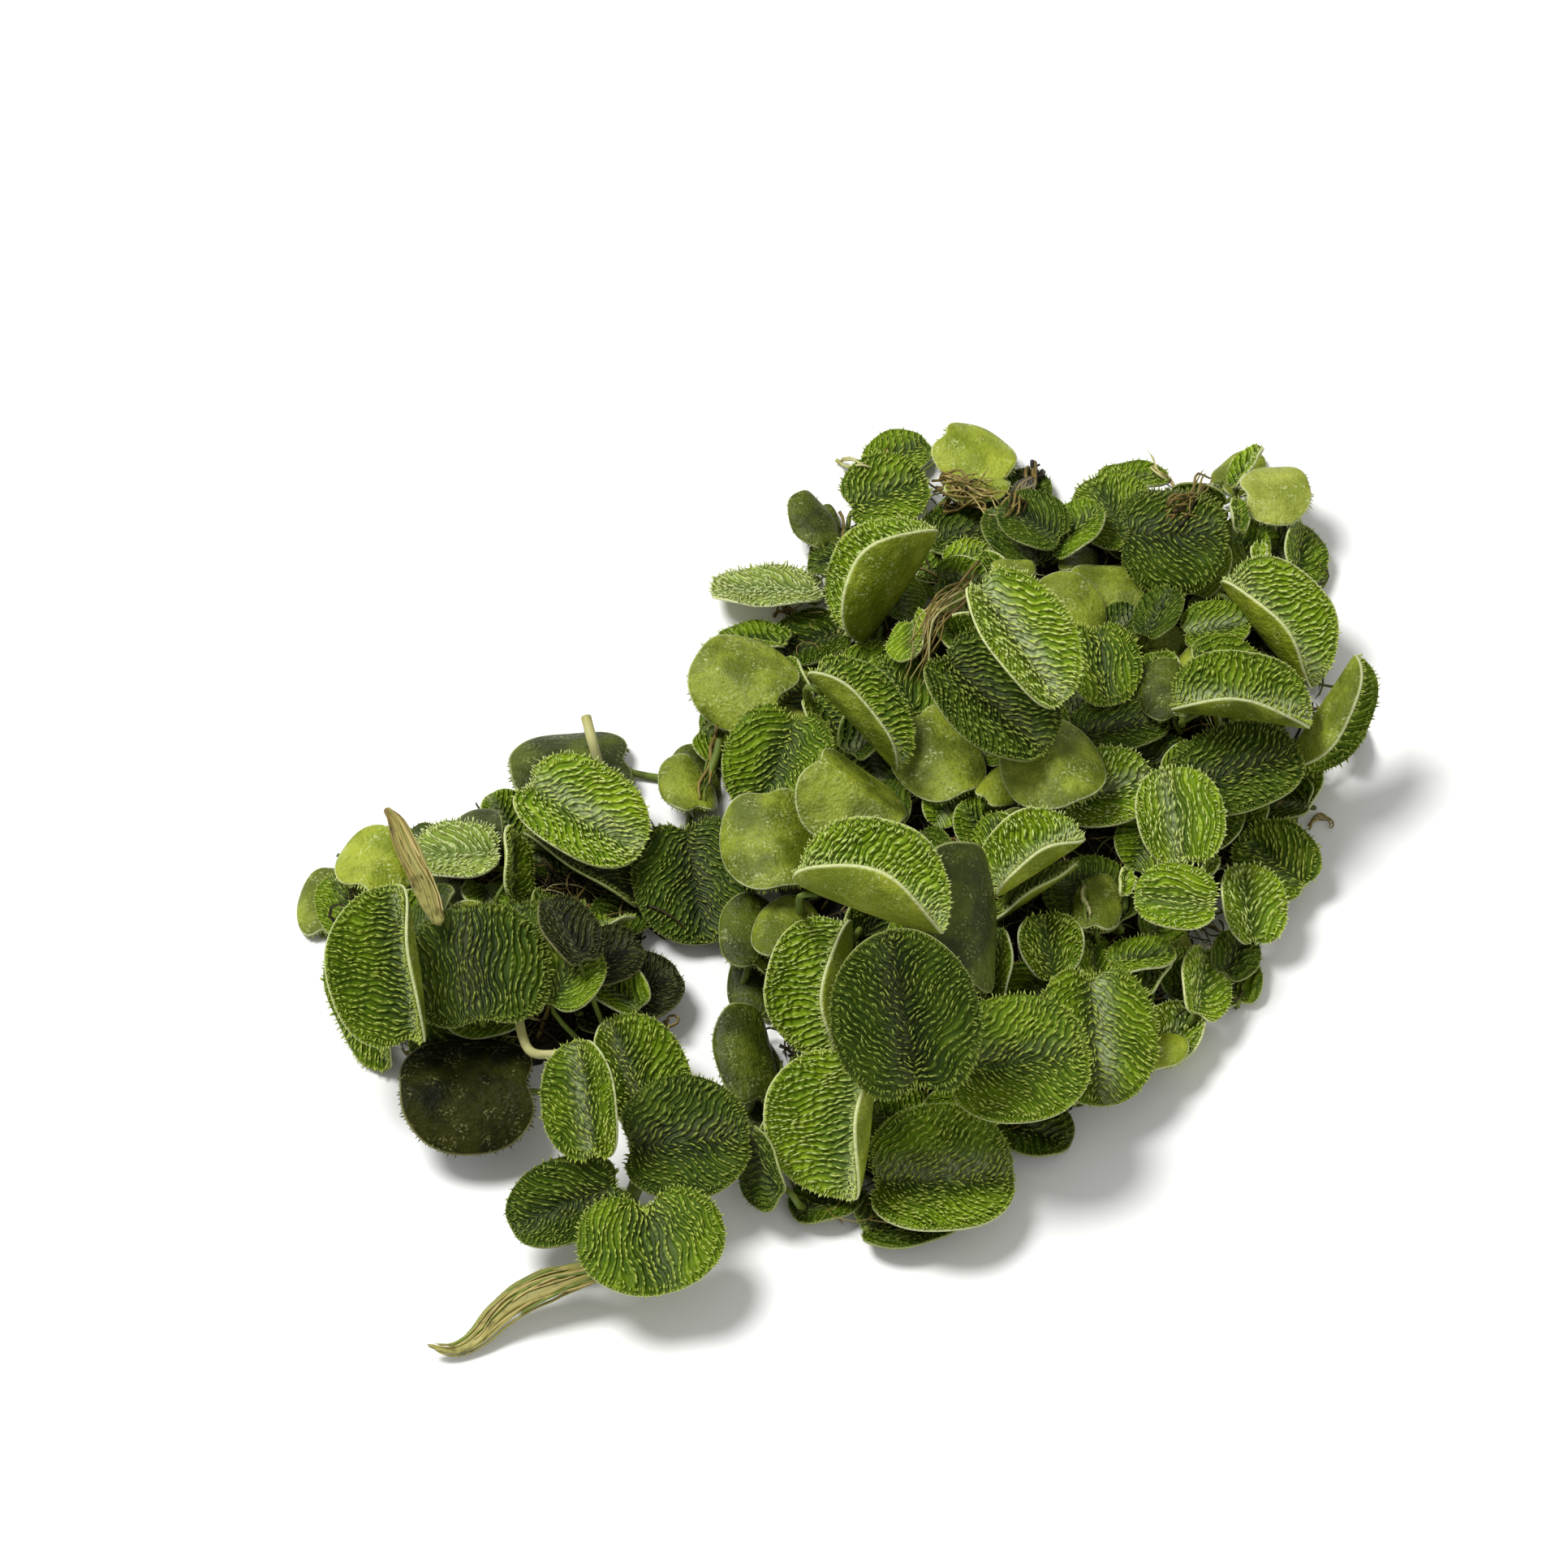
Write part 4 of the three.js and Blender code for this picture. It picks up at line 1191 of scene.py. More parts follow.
FLANK = LeafCluster("left_flank", (
    broad("left_flank_1", 150, 150, 268, 10.4, 11.2, 8, 34),
    broad("left_flank_2", -110, 24, 100, 12, 10.6, 15),
    broad("left_flank_boat", -47, 62, 43, 13.4, 11.2, 25, 55, bloom=0.7, rows=Rows.ACROSS),
    broad("front_leaf_1", 92, 138, 192, 15, 12.4, 10, 32, tone=DEEP),
    broad("left_flank_3", -80, 150, 262, 11.4, 11, 10, 36),
    broad("left_flank_4", -38, 140, 240, 11, 12.4, 32, 8),
    broad("front_boat_1", -20, 62, 72, 16, 18.6, 25, 60, 6, tone=SUNNY, bloom=0.7, rows=Rows.ACROSS),
))
FRONT = LeafCluster("front", (
    broad("front_boat_2", 265, 53, 175, 14.6, 16, 25, 60, 6, tone=SUNNY, bloom=1.0, rows=Rows.ACROSS),
    broad("front_leaf_2", 5, 22, 90, 14, 12.8, 18, -14),
    broad("front_leaf_3", 99, 16, 265, 17, 14.4, 32, -30, tone=DEEP),
    broad("front_boat_3", 264, 42, 174, 14.8, 18.6, 22, 58, 6, tone=SUNNY, bloom=1.0, rows=Rows.ACROSS),
    broad("front_leaf_4", 2, 24, 86, 14.4, 14.6, 26, 8, bloom=0.5),
))


# Small leaves

class Crowd:
    """The blades laid so far, which later ones keep clear of."""

    def __init__(self, blades: list[Blade]) -> None:
        """Starts with the large leaves.

        Args:
            blades: The leaves in their places.
        """
        self.sheets: list[tuple[np.ndarray, float, BVHTree]] = []
        for blade in blades:
            self.add(blade)

    def add(self, blade: Blade) -> None:
        """Keeps a blade as laid."""
        self.sheets.append(self.measured(*blade.outline(13)))

    @staticmethod
    def measured(points: np.ndarray, faces: list) -> tuple[np.ndarray, float, BVHTree]:
        """A sheet's middle, how far it reaches from there, and its surface.

        Args:
            points: The sheet's points.
            faces: Its faces.

        Returns:
            The three of them.
        """
        middle = points.mean(axis=0)
        reach = float(np.linalg.norm(points - middle, axis=1).max())
        return middle, reach, BVHTree.FromPolygons(points.tolist(), faces)

    def meets(self, blade: Blade, room: float) -> bool:
        """Whether a blade comes nearer than room to one that is laid.

        Args:
            blade: The blade.
            room: How near it may come.

        Returns:
            Whether it does.
        """
        for lift in (-room, room):
            middle, far, own = self.measured(*blade.outline(9, lift))
            for other, reach, tree in self.sheets:
                if np.linalg.norm(other - middle) < far + reach and own.overlap(tree):
                    return True
        return False


@dataclass(frozen=True)
class Outline:
    """How far a part of the heap reaches in the picture, as pixels round it."""

    corners: tuple[tuple[float, float], ...]

    def holds(self, seen: np.ndarray) -> np.ndarray:
        """Whether pixels lie inside.

        Args:
            seen: The pixels.

        Returns:
            Whether each one does.
        """
        inside = np.zeros(len(seen), bool)
        x, y = seen[:, 0], seen[:, 1]
        for (ax, ay), (bx, by) in zip(self.corners, self.corners[1:] + self.corners[:1]):
            crosses = (ay > y) != (by > y)
            inside ^= crosses & (x < (bx - ax) * (y - ay) / ((by - ay) or 1e-9) + ax)
        return inside

    def pick(self, chance: np.random.Generator) -> np.ndarray:
        """A pixel somewhere inside.

        Args:
            chance: The source of chance.

        Returns:
            The pixel.
        """
        low, high = np.min(self.corners, axis=0), np.max(self.corners, axis=0)
        while True:
            seen = chance.uniform(low, high)
            if self.holds(seen[None])[0]:
                return seen


@dataclass(frozen=True)
class Undergrowth:
    """The small leaves of a mat: those that the picture shows, and others over its bare places and flanks."""

    node: str
    rim: tuple[Leaf, ...]
    inner: tuple[Leaf, ...]
    outline: Outline
    tries: int
    room: float = 0.4
    cells: int = 14

    table_top = 0.1
    lowest = 0.4
    highest = 27
    lifts_on_mat = (3.4, -2.2, -0.5)
    lifts_beside = (2, 16, 0.5)
    lengths = (6, 11)
    margin = 3
    above = 60
    turned = 0.2
    least_inside = 0.97
    most_covering = 0.05

    def shown(self, crowd: Crowd, mats: BVHTree) -> list[Blade]:
        """Lays the leaves that the picture shows.

        Args:
            crowd: The blades laid so far.
            mats: The mats' solids.

        Returns:
            The leaves in their places.
        """
        blades = []
        for leaf in self.rim:
            blade = Blade(leaf, self.cells)
            blade.place = VIEW.first_hit(leaf.seen, mats) - VIEW.axes[2] * leaf.solid_thickness / 2
            blades.append(blade)
            crowd.add(blade)
        for leaf in self.inner:
            blade = Blade(leaf, self.cells)
            hit = VIEW.first_hit(leaf.seen, mats)
            depth = (hit - VIEW.target) @ VIEW.axes[2]
            for lift in np.arange(*(self.lifts_on_mat if hit[2] > self.table_top else self.lifts_beside)):
                blade.place = VIEW.place(leaf.seen, depth + lift)
                high_enough = blade.outline(9)[0][:, 2].min() > self.lowest
                if high_enough and not crowd.meets(blade, self.room * 0.6):
                    blades.append(blade)
                    crowd.add(blade)
                    break
            else:
                log.info("no room at %s", leaf.seen)
        return blades

    @staticmethod
    def covers(points: np.ndarray, tree: BVHTree, mats: BVHTree) -> float:
        """How much of a sheet would hide a large leaf in the picture.

        Args:
            points: The sheet's points.
            tree: The large leaves.
            mats: The mats' solids on the table.

        Returns:
            The share of its points that have a large leaf behind them and nothing before them.
        """
        covering = 0
        for point in points:
            way = Vector(point - VIEW.eye)
            leaf = tree.ray_cast(Vector(VIEW.eye), way)[3]
            mat = mats.ray_cast(Vector(VIEW.eye), way)[3]
            covering += leaf is not None and way.length < leaf < mat
        return covering / len(points)

    def fill(self, crowd: Crowd, tree: BVHTree, mats: BVHTree, chance: np.random.Generator) -> list[Blade]:
        """Lays more leaves where there is room, none of them over a large leaf or beside the heap.

        Args:
            crowd: The blades laid so far.
            tree: The large leaves.
            mats: The mats' solids on the table.
            chance: The source of chance.

        Returns:
            The leaves in their places.
        """
        low, high = (np.array(corner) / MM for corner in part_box(self.node))
        blades = []
        for i in range(self.tries):
            if i % 3:
                way = Vector(VIEW.place(self.outline.pick(chance), 0) - VIEW.eye)
                start = Vector(VIEW.eye)
            else:
                start = Vector((*chance.uniform(low[:2] - self.margin, high[:2] + self.margin), self.above))
                way = Vector((0, 0, -1))
            hit, normal, _, _ = mats.ray_cast(start, way)
            length = chance.uniform(*self.lengths)
            shape = dict(
                length=length, width=length * chance.uniform(0.76, 0.94), fold=chance.uniform(8, 34),
                curl=chance.uniform(-20, 30), bloom=chance.uniform(0.1, 0.6), hair=0.45,
                tone=chance.choice([FRESH, DEEP, SUNNY], p=[0.45, 0.4, 0.15]),
            )
            tip = np.append(chance.normal(0, 1, 2), chance.uniform(-0.2, 0.6))
            face = unit(np.array(normal) * 0.8 + [0, -0.15, 0.6] + chance.normal(0, 0.35, 3))
            lift = chance.uniform(*((-1, 1.6) if hit.z > self.table_top else (1, 6)))
            if chance.random() < self.turned:
                face, shape["fold"], shape["curl"] = -face, 8, 34
            blade = Blade(Leaf.facing(face, tip, **shape), self.cells)
            blade.place = np.array(hit) + [0, 0, lift]
            points = blade.outline(7)[0]
            if points[:, 2].min() < self.lowest or points[:, 2].max() > self.highest:
                continue
            inside = self.outline.holds(VIEW.seen(points)).mean()
            if inside < self.least_inside or crowd.meets(blade, self.room):
                continue
            if self.covers(points, tree, mats) > self.most_covering:
                continue
            blades.append(blade)
            crowd.add(blade)
        log.info("%s: %d more small leaves", self.node, len(blades))
        return blades

    def build(self, blades: list[Blade], tree: BVHTree, chance: np.random.Generator) -> None:
        """Makes the small leaves and their hairs.

        Args:
            blades: The leaves in their places.
            tree: All blades of the heap.
            chance: The source of chance.
        """
        hairs = Strands()
        coat = HairCoat(hairs, tree, chance, blunt=False)
        bm = bmesh.new()
        for blade in blades:
            blade.build(bm, 2 * TONES.index(blade.leaf.tone))
            coat.grow(blade)
        mesh = mesh_of(bm, self.node + "_leaves")
        finishes = [finish for tone in TONES for finish in (UPPERS[tone], UNDERS[tone])]
        new_piece(mesh.name, mesh, finishes)
        log.info("%s: %d leaves, %d faces", mesh.name, len(blades), len(mesh.polygons))
        hairs.piece(mesh.name + "_hairs", list(HAIRS.values()), "leaf")


def small(seen_x: float, seen_y: float, heading: float, tilt: float, lean: float, length: float, width: float,
          tone: Tone = FRESH, **values: object) -> Leaf:
    """A small leaf that the picture shows at a pixel.

    Args:
        seen_x: The pixel, across.
        seen_y: The pixel, down.
        heading: Where its tip points.
        tilt: How far its upper face is turned away.
        lean: Which way it is turned.
        length: Its length.
        width: Its width.
        tone: Its tone.
        values: Its other values.

    Returns:
        The leaf.
    """
    if tilt > 90:
        values = {"fold": 8, "curl": 30} | values
    return Leaf(heading, tilt, lean, length, width, seen=(seen_x, seen_y), tone=tone,
                **({"fold": 18, "hair": 0.65} | values))


MAIN_LEAVES = Undergrowth(
    "main_root_mat",
    rim=(
        small(1105, 566, 30, 36, 85, 7.5, 6), small(1265, 612, 80, 34, 80, 6.6, 5, DEEP),
        small(1040, 682, 170, 146, 270, 7, 6, DEEP), small(1395, 592, 5, 50, 90, 7.4, 4.5),
        small(1526, 580, 40, 144, 270, 6.2, 4.6), small(1600, 684, 80, 50, 30, 7.6, 6, fold=25),
        small(1530, 672, 120, 36, 80, 6.6, 5.4), small(1602, 975, 70, 44, 130, 6.6, 5.6),
        small(1516, 1206, 110, 34, 80, 7.2, 6), small(856, 957, 100, 146, 268, 7.6, 5.6, DEEP),
        small(932, 1212, 90, 148, 250, 8.6, 5.6, DEEP), small(936, 1352, 95, 148, 250, 13, 6.6, DEEP),
        small(1118, 1506, 10, 42, 90, 10.4, 8, DEEP), small(1020, 1480, 200, 40, 95, 7.6, 6, DEEP),
        small(1266, 1392, -20, 40, 90, 9, 7.5, DEEP),
    ),
    inner=(
        small(1202, 596, 0, 120, 270, 7, 5, SUNNY), small(1199, 660, 10, 45, 90, 10.5, 8, DEEP),
        small(1274, 645, 150, 30, 90, 7.5, 6.5, DEEP), small(1191, 688, 20, 40, 90, 5, 4, SUNNY),
        small(1247, 700, 0, 140, 270, 4.6, 3.2), small(1325, 655, 40, 40, 130, 7, 6),
        small(1368, 722, 170, 145, 270, 8.4, 7), small(1428, 758, 60, 40, 100, 7, 4.6, DEEP),
        small(1496, 776, 10, 35, 90, 7, 6, bloom=0.7), small(1000, 792, 200, 40, 90, 8, 7, DEEP),
        small(1110, 850, 120, 35, 60, 8, 7), small(1440, 850, 100, 140, 270, 8, 6, DEEP),
        small(1430, 858, 90, 35, 160, 9, 7), small(1378, 898, 10, 35, 100, 10, 7, DEEP),
        small(1470, 908, -30, 40, 80, 8, 7), small(1239, 962, 40, 140, 270, 7, 4.4, SUNNY),
        small(1232, 1045, 90, 45, 170, 7, 6), small(1352, 1112, 80, 140, 270, 7, 5),
        small(1228, 1195, 80, 50, 180, 8, 6), small(1405, 1182, 10, 50, 90, 7, 5),
        small(1460, 1204, 60, 30, 60, 6, 5.5), small(985, 850, 120, 60, 180, 7, 6),
        small(1036, 908, -55, 45, 45, 11, 8), small(972, 1146, 70, 145, 250, 8, 7),
        small(1270, 1105, 34, 80, 124, 11, 6, bloom=0.6, hair=0.7),
        small(1488, 1070, 60, 50, 60, 4, 2.4, SUNNY, fold=50),
        small(1385, 1090, 80, 50, 60, 4, 2.4, SUNNY, fold=50), small(990, 825, 80, 130, 270, 4.4, 3),
        small(1524, 638, 95, 40, 60, 4.4, 2.6, bloom=1, fold=45),
        small(1551, 684, 80, 40, 90, 2.6, 2.4, SUNNY, fold=50),
        small(1536, 578, 55, 50, 120, 6, 3.2, SUNNY, fold=40), small(1018, 646, 95, 140, 270, 5.2, 3, DEEP),
        small(1210, 1365, 60, 60, 120, 7, 3), small(1255, 640, 60, 60, 200, 6, 4, DEEP),
        small(1330, 690, 60, 130, 250, 5, 4, DEEP), small(1005, 640, 120, 140, 240, 7, 5, DEEP),
        small(1030, 690, 200, 50, 120, 6, 4, DEEP), small(930, 790, 175, 60, 100, 8, 5),
        small(930, 1150, 90, 140, 230, 9, 7, DEEP), small(925, 1200, 60, 120, 200, 5, 4),
        small(925, 1300, 100, 140, 220, 11, 7, DEEP), small(945, 1440, 120, 60, 180, 9, 7, DEEP),
        small(1040, 1500, 190, 60, 110, 8, 5, DEEP), small(1215, 1120, 80, 130, 230, 9, 7, DEEP),
        small(1350, 1190, 100, 50, 60, 8, 5), small(1425, 1200, 60, 60, 130, 6, 4, SUNNY, bloom=0.8),
        small(1480, 1215, 80, 50, 40, 9, 6, SUNNY), small(1520, 1180, 60, 40, 60, 6, 5, DEEP),
        small(1420, 1290, 10, 130, 270, 7, 5, SUNNY), small(850, 965, 110, 130, 250, 8, 6),
        small(1655, 905, 40, 60, 60, 7, 4, DEEP), small(1600, 960, 20, 130, 270, 5, 4),
    ),
    outline=Outline((
        (1000, 610), (1030, 572), (1075, 542), (1150, 525), (1200, 550), (1255, 578), (1290, 585),
        (1315, 620), (1345, 590), (1440, 585), (1510, 575), (1550, 560), (1605, 595), (1615, 660),
        (1645, 720), (1650, 800), (1690, 825), (1660, 880), (1630, 930), (1640, 960), (1625, 1010),
        (1610, 1070), (1580, 1110), (1545, 1170), (1535, 1225), (1480, 1270), (1430, 1310), (1370, 1350),
        (1290, 1380), (1250, 1400), (1245, 1440), (1200, 1490), (1150, 1535), (1060, 1520), (980, 1485),
        (940, 1430), (908, 1340), (905, 1280), (935, 1240), (915, 1180), (935, 1120), (920, 1085),
        (890, 1040), (900, 1000), (850, 985), (828, 960), (850, 920), (855, 860), (880, 810), (940, 785),
        (1000, 765), (1005, 700),
    )),
    tries=3600,
)
LEFT_LEAVES = Undergrowth(
    "left_root_mat",
    rim=(
        small(432, 1120, 110, 36, 110, 9, 6.6), small(402, 1112, 85, 142, 268, 8.6, 6),
        small(577, 1030, 180, 142, 270, 7.2, 5.6, DEEP), small(570, 1286, 190, 36, 90, 10.4, 8, DEEP),
        small(768, 1228, 20, 36, 90, 12, 8.6, WET_AND_SHADED, fold=12),
    ),
    inner=(
        small(628, 1068, 90, 70, 10, 8, 7, bloom=0.6), small(716, 1068, -33, 62, 60, 14, 9, DEEP, fold=25),
        small(725, 1122, 0, 40, 100, 11, 9, WET_AND_SHADED), small(698, 1205, 60, 30, 90, 8, 7.5),
        small(700, 1150, 120, 40, 60, 8, 6, WET_AND_SHADED), small(640, 1150, 80, 40, 120, 7, 6, DEEP),
        small(750, 1180, 30, 30, 60, 7, 6, WET_AND_SHADED),
    ),
    outline=Outline((
        (392, 1080), (450, 1015), (560, 1005), (640, 950), (740, 905), (780, 940), (800, 1010), (870, 1050),
        (915, 1100), (880, 1160), (790, 1160), (775, 1185), (835, 1200), (845, 1260), (800, 1290),
        (700, 1300), (650, 1340), (560, 1400), (500, 1370), (490, 1290), (440, 1310), (400, 1220),
    )),
    tries=1500,
)


# Roots and stems

@dataclass(frozen=True)
class RootMat:
    """A mat of tangled wet roots over its flat underside."""

    node: str
    fibres: int
    outline: Outline
    cell: float = 0.9
    sink: float = 2.0

    shore = 4
    roughness = 0.7
    lowest = 0.4
    lowest_fibre = 0.15
    floor = 0.05

    def sheet(self) -> tuple[list[Vector], list[tuple[int, ...]]]:
        """The points and faces of the mat's measured solid."""
        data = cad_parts[self.node].data
        return [v.co / MM for v in data.vertices], [tuple(p.vertices) for p in data.polygons]

    def solid(self) -> BVHTree:
        """The mat's measured solid."""
        return BVHTree.FromPolygons(*self.sheet())

    def height(self, tree: BVHTree, x: float, y: float) -> float:
        """How high the mat is at a place of the table.

        Args:
            tree: The mat's solid.
            x: The place.
            y: The place.

        Returns:
            The height, or 0 beside the mat.
        """
        below = tree.ray_cast(Vector((x, y, -1)), Vector((0, 0, 1)), 1.05)[0]
        top = tree.ray_cast(Vector((x, y, 0.05)), Vector((0, 0, 1)))[0]
        return top.z if below and top else 0.0

    def sunk(self, top: float) -> float:
        """How high the roots lie where the solid is a height: lower by sink, and by less at its rim."""
        return top - self.sink * min(1, top / self.shore)

    def loose(self, strands: Strands, chance: np.random.Generator) -> None:
        """Adds roots that lie on the table round the mat, under the leaves.

        Args:
            strands: The bundle that takes them.
            chance: The source of chance.
        """
        for _ in range(self.fibres // 2):
            way = VIEW.place(self.outline.pick(chance), 0) - VIEW.eye
            spot = VIEW.eye + way * (-VIEW.eye[2] / way[2]) + [0, 0, chance.uniform(0.2, 2.5)]
            turn, rise = chance.uniform(0, math.tau), chance.uniform(0, 1.6)
            bend, step = chance.normal(0, 0.35), chance.uniform(0.5, 1.2)
            path = []
            for i in range(10):
                path.append(spot + [0, 0, rise * math.sin(math.pi * i / 9)])
                spot = spot + np.array([math.cos(turn), math.sin(turn), 0]) * step
                turn += bend + chance.normal(0, 0.15)
            path = np.array(path)
            if self.outline.holds(VIEW.seen(path)).all():
                radius = chance.uniform(0.09, 0.24)
                strands.thread(path, radius, int(chance.choice(5, p=[0.5, 0.2, 0.08, 0.02, 0.2])))

    def build(self, tree: BVHTree, chance: np.random.Generator) -> None:
        """Makes the mat's body and the fibres over it.

        Args:
            tree: The mat's solid.
            chance: The source of chance.
        """
        low, high = (np.array(corner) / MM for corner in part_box(self.node))
        size = high - low
        bm = bmesh.new()
        cells = [int(side / self.cell) for side in size[:2]]
        verts = bmesh.ops.create_grid(bm, x_segments=cells[0], y_segments=cells[1], size=0.5)["verts"]
        outside = []
        for vert in verts:
            x, y = low[0] + (vert.co.x + 0.5) * size[0], low[1] + (vert.co.y + 0.5) * size[1]
            top = self.height(tree, x, y)
            rough = self.roughness * noise.fractal(Vector((x, y, 0)) * 0.5, 0.7, 2.1, 4)
            vert.co = Vector((x, y, max(self.lowest, self.sunk(top) + rough)))
            if top < 0.3:
                outside.append(vert)
        bmesh.ops.delete(bm, geom=outside, context="VERTS")
        rim = [v for v in bm.verts if v.is_boundary]
        for _ in range(4):
            bmesh.ops.smooth_vert(bm, verts=rim, factor=0.5, use_axis_x=True, use_axis_y=True)
        for _ in range(2):
            bmesh.ops.smooth_vert(bm, verts=bm.verts, factor=0.4, use_axis_z=True)
        for item in bmesh.ops.extrude_face_region(bm, geom=bm.faces[:], use_keep_orig=True)["geom"]:
            if isinstance(item, bmesh.types.BMVert):
                item.co.z = self.floor
        bmesh.ops.recalc_face_normals(bm, faces=bm.faces)
        for face in bm.faces:
            face.smooth = True
        bmesh.ops.scale(bm, vec=(MM, MM, MM), verts=bm.verts)
        mesh = mesh_of(bm, self.node + "_tangle")
        piece = new_piece(mesh.name, mesh, [MatFinish()])
        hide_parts(self.node)
        log.info("%s: %d faces", piece.name, len(mesh.polygons))
        self.cover(tree, low, high, chance)

    def cover(self, tree: BVHTree, low: np.ndarray, high: np.ndarray, chance: np.random.Generator) -> None:
        """Lays loose fibres over the mat, which droop to the table at its rim.

        Args:
            tree: The mat's solid.
            low: The mat's lowest corner.
            high: Its highest corner.
            chance: The source of chance.
        """
        strands = Strands()
        steps = 9
        made = 0
        while made < self.fibres:
            x, y = chance.uniform(low[:2], high[:2])
            if not self.height(tree, x, y):
                continue
            made += 1
            way = chance.uniform(0, math.tau)
            length = chance.uniform(4, 12)
            arch = chance.uniform(0, 1.2)
            bend = chance.normal(0, 0.25)
            path = []
            for i in range(steps):
                over = self.height(tree, x, y)
                lift = self.lowest_fibre + (arch * math.sin(math.pi * i / (steps - 1)) if over else 0)
                path.append((x, y, max(self.lowest_fibre, self.sunk(over) + lift)))
                way += bend + chance.normal(0, 0.12)
                x += math.cos(way) * length / steps * (1 if over else 0.25)
                y += math.sin(way) * length / steps * (1 if over else 0.25)
            if not self.outline.holds(VIEW.seen(np.array(path))).all():
                continue
            radius = chance.choice([0.08, 0.12, 0.18, 0.28], p=[0.4, 0.35, 0.18, 0.07])
            slot = chance.choice(5, p=[0.62, 0.2, 0.06, 0.02, 0.1])
            strands.thread(smooth_path(np.array(path), 12), radius, int(slot))
        self.loose(strands, chance)
        strands.piece(self.node + "_fibres", STRAND_FINISHES, "root_mat")


@dataclass(frozen=True)
class Strand:
    """A stem or a long root that has a node of its own."""

    node: str
    finishes: tuple[StrandFinish, ...]
    width: float
    thick: float
    threads: int
    seen: tuple[tuple[float, float, float], ...]
    swell: tuple[float, ...] = (1, 1, 0.8)

    points = 28
    core = 0.8
    lowest = 0.15

    def build(self, chance: np.random.Generator) -> None:
        """Makes the strand along its route: one stem, or a flattened root with threads over it.

        Args:
            chance: The source of chance.
        """
        seen = np.array(self.seen)
        depths = seen[:, 2:] * VIEW.axes[2]
        path = np.array([VIEW.place((x, y), 0) for x, y, _ in self.seen]) + depths
        path = smooth_path(path, self.points)
        low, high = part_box(self.node)
        path += np.array(low + high) / 2 / MM - (path.min(axis=0) + path.max(axis=0)) / 2
        count = len(path)
        share = np.linspace(0, 1, count)
        swell = np.interp(share, np.linspace(0, 1, len(self.swell)), self.swell)
        way = unit(np.gradient(path, axis=0))
        across = unit(np.cross(way, [0, 0, 1]))
        out = np.cross(across, way)
        strands = Strands(10)
        core = self.core if self.threads else 1
        strands.add(path[None], core * self.width / 2 * swell[:-1], 0, self.thick / self.width)
        for thread in range(self.threads):
            side = chance.uniform(-0.48, 0.48)
            drift = 0.07 * np.sin(share * chance.uniform(4, 14) + chance.uniform(0, 6))
            over = np.clip(side + drift, -0.5, 0.5)[:, None]
            lift = np.sqrt(np.maximum(0.25 - over ** 2, 0)) * chance.choice([1, 1, -1])
            span = (swell * self.width)[:, None]
            line = path + across * over * span + out * lift * span * self.thick / self.width
            line[:, 2] = np.maximum(line[:, 2], self.lowest)
            stop = chance.integers(count // 2, count + 1)
            radii = chance.uniform(0.1, 0.2) * np.linspace(1, 0.6, stop - 1)
            strands.add(line[None, :stop], radii, thread % len(self.finishes))
        piece = strands.piece(self.node + "_threads", list(self.finishes), "root")
        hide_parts(self.node)


STRANDS = (
    Strand("left_stem_end", (STEM,), 1, 0.9, 0, ((722, 882, 0), (730, 912, 1), (739, 944, 0))),
    Strand("left_stem", (STEM,), 0.9, 0.9, 0,
           ((639, 1252, 0), (646, 1282, 0.5), (657, 1298, 0.8), (680, 1300, 0.5), (706, 1294, 0))),
    Strand("flank_stem", (GREEN_STEM,), 0.8, 0.8, 0,
           ((889, 893, -3.4), (884, 925, -2.2), (872, 960, -1), (861, 1002, 0))),
    Strand("left_root", (WITHERED, STRAW, WITHERED, ROOT), 2.6, 1.2, 22,
           ((475, 996, -5), (487, 1012, -3.6), (501, 1042, -1.8), (516, 1076, -0.8), (529, 1106, -0.3),
            (542, 1134, 0)), (0.2, 0.6, 0.85, 1, 0.9, 0.5)),
    Strand("spray_stem", (GREEN_STEM,), 1.5, 1.5, 0,
           ((779, 1432, 1), (786, 1452, 0.6), (778, 1476, 0.2), (780, 1508, 0))),
    Strand("spray_root", (WITHERED, STRAW, WITHERED, GREEN_STEM), 3.3, 1.1, 34,
           ((738, 1566, 0.6), (705, 1575, 0.4), (675, 1584, 0.2), (641, 1600, 0.2), (613, 1622, 0.2),
            (590, 1646, 0.4), (562, 1660, 0.9), (531, 1653, 1.8)),
           (0.6, 0.85, 1.05, 0.95, 0.8, 0.6, 0.4, 0.14)),
)


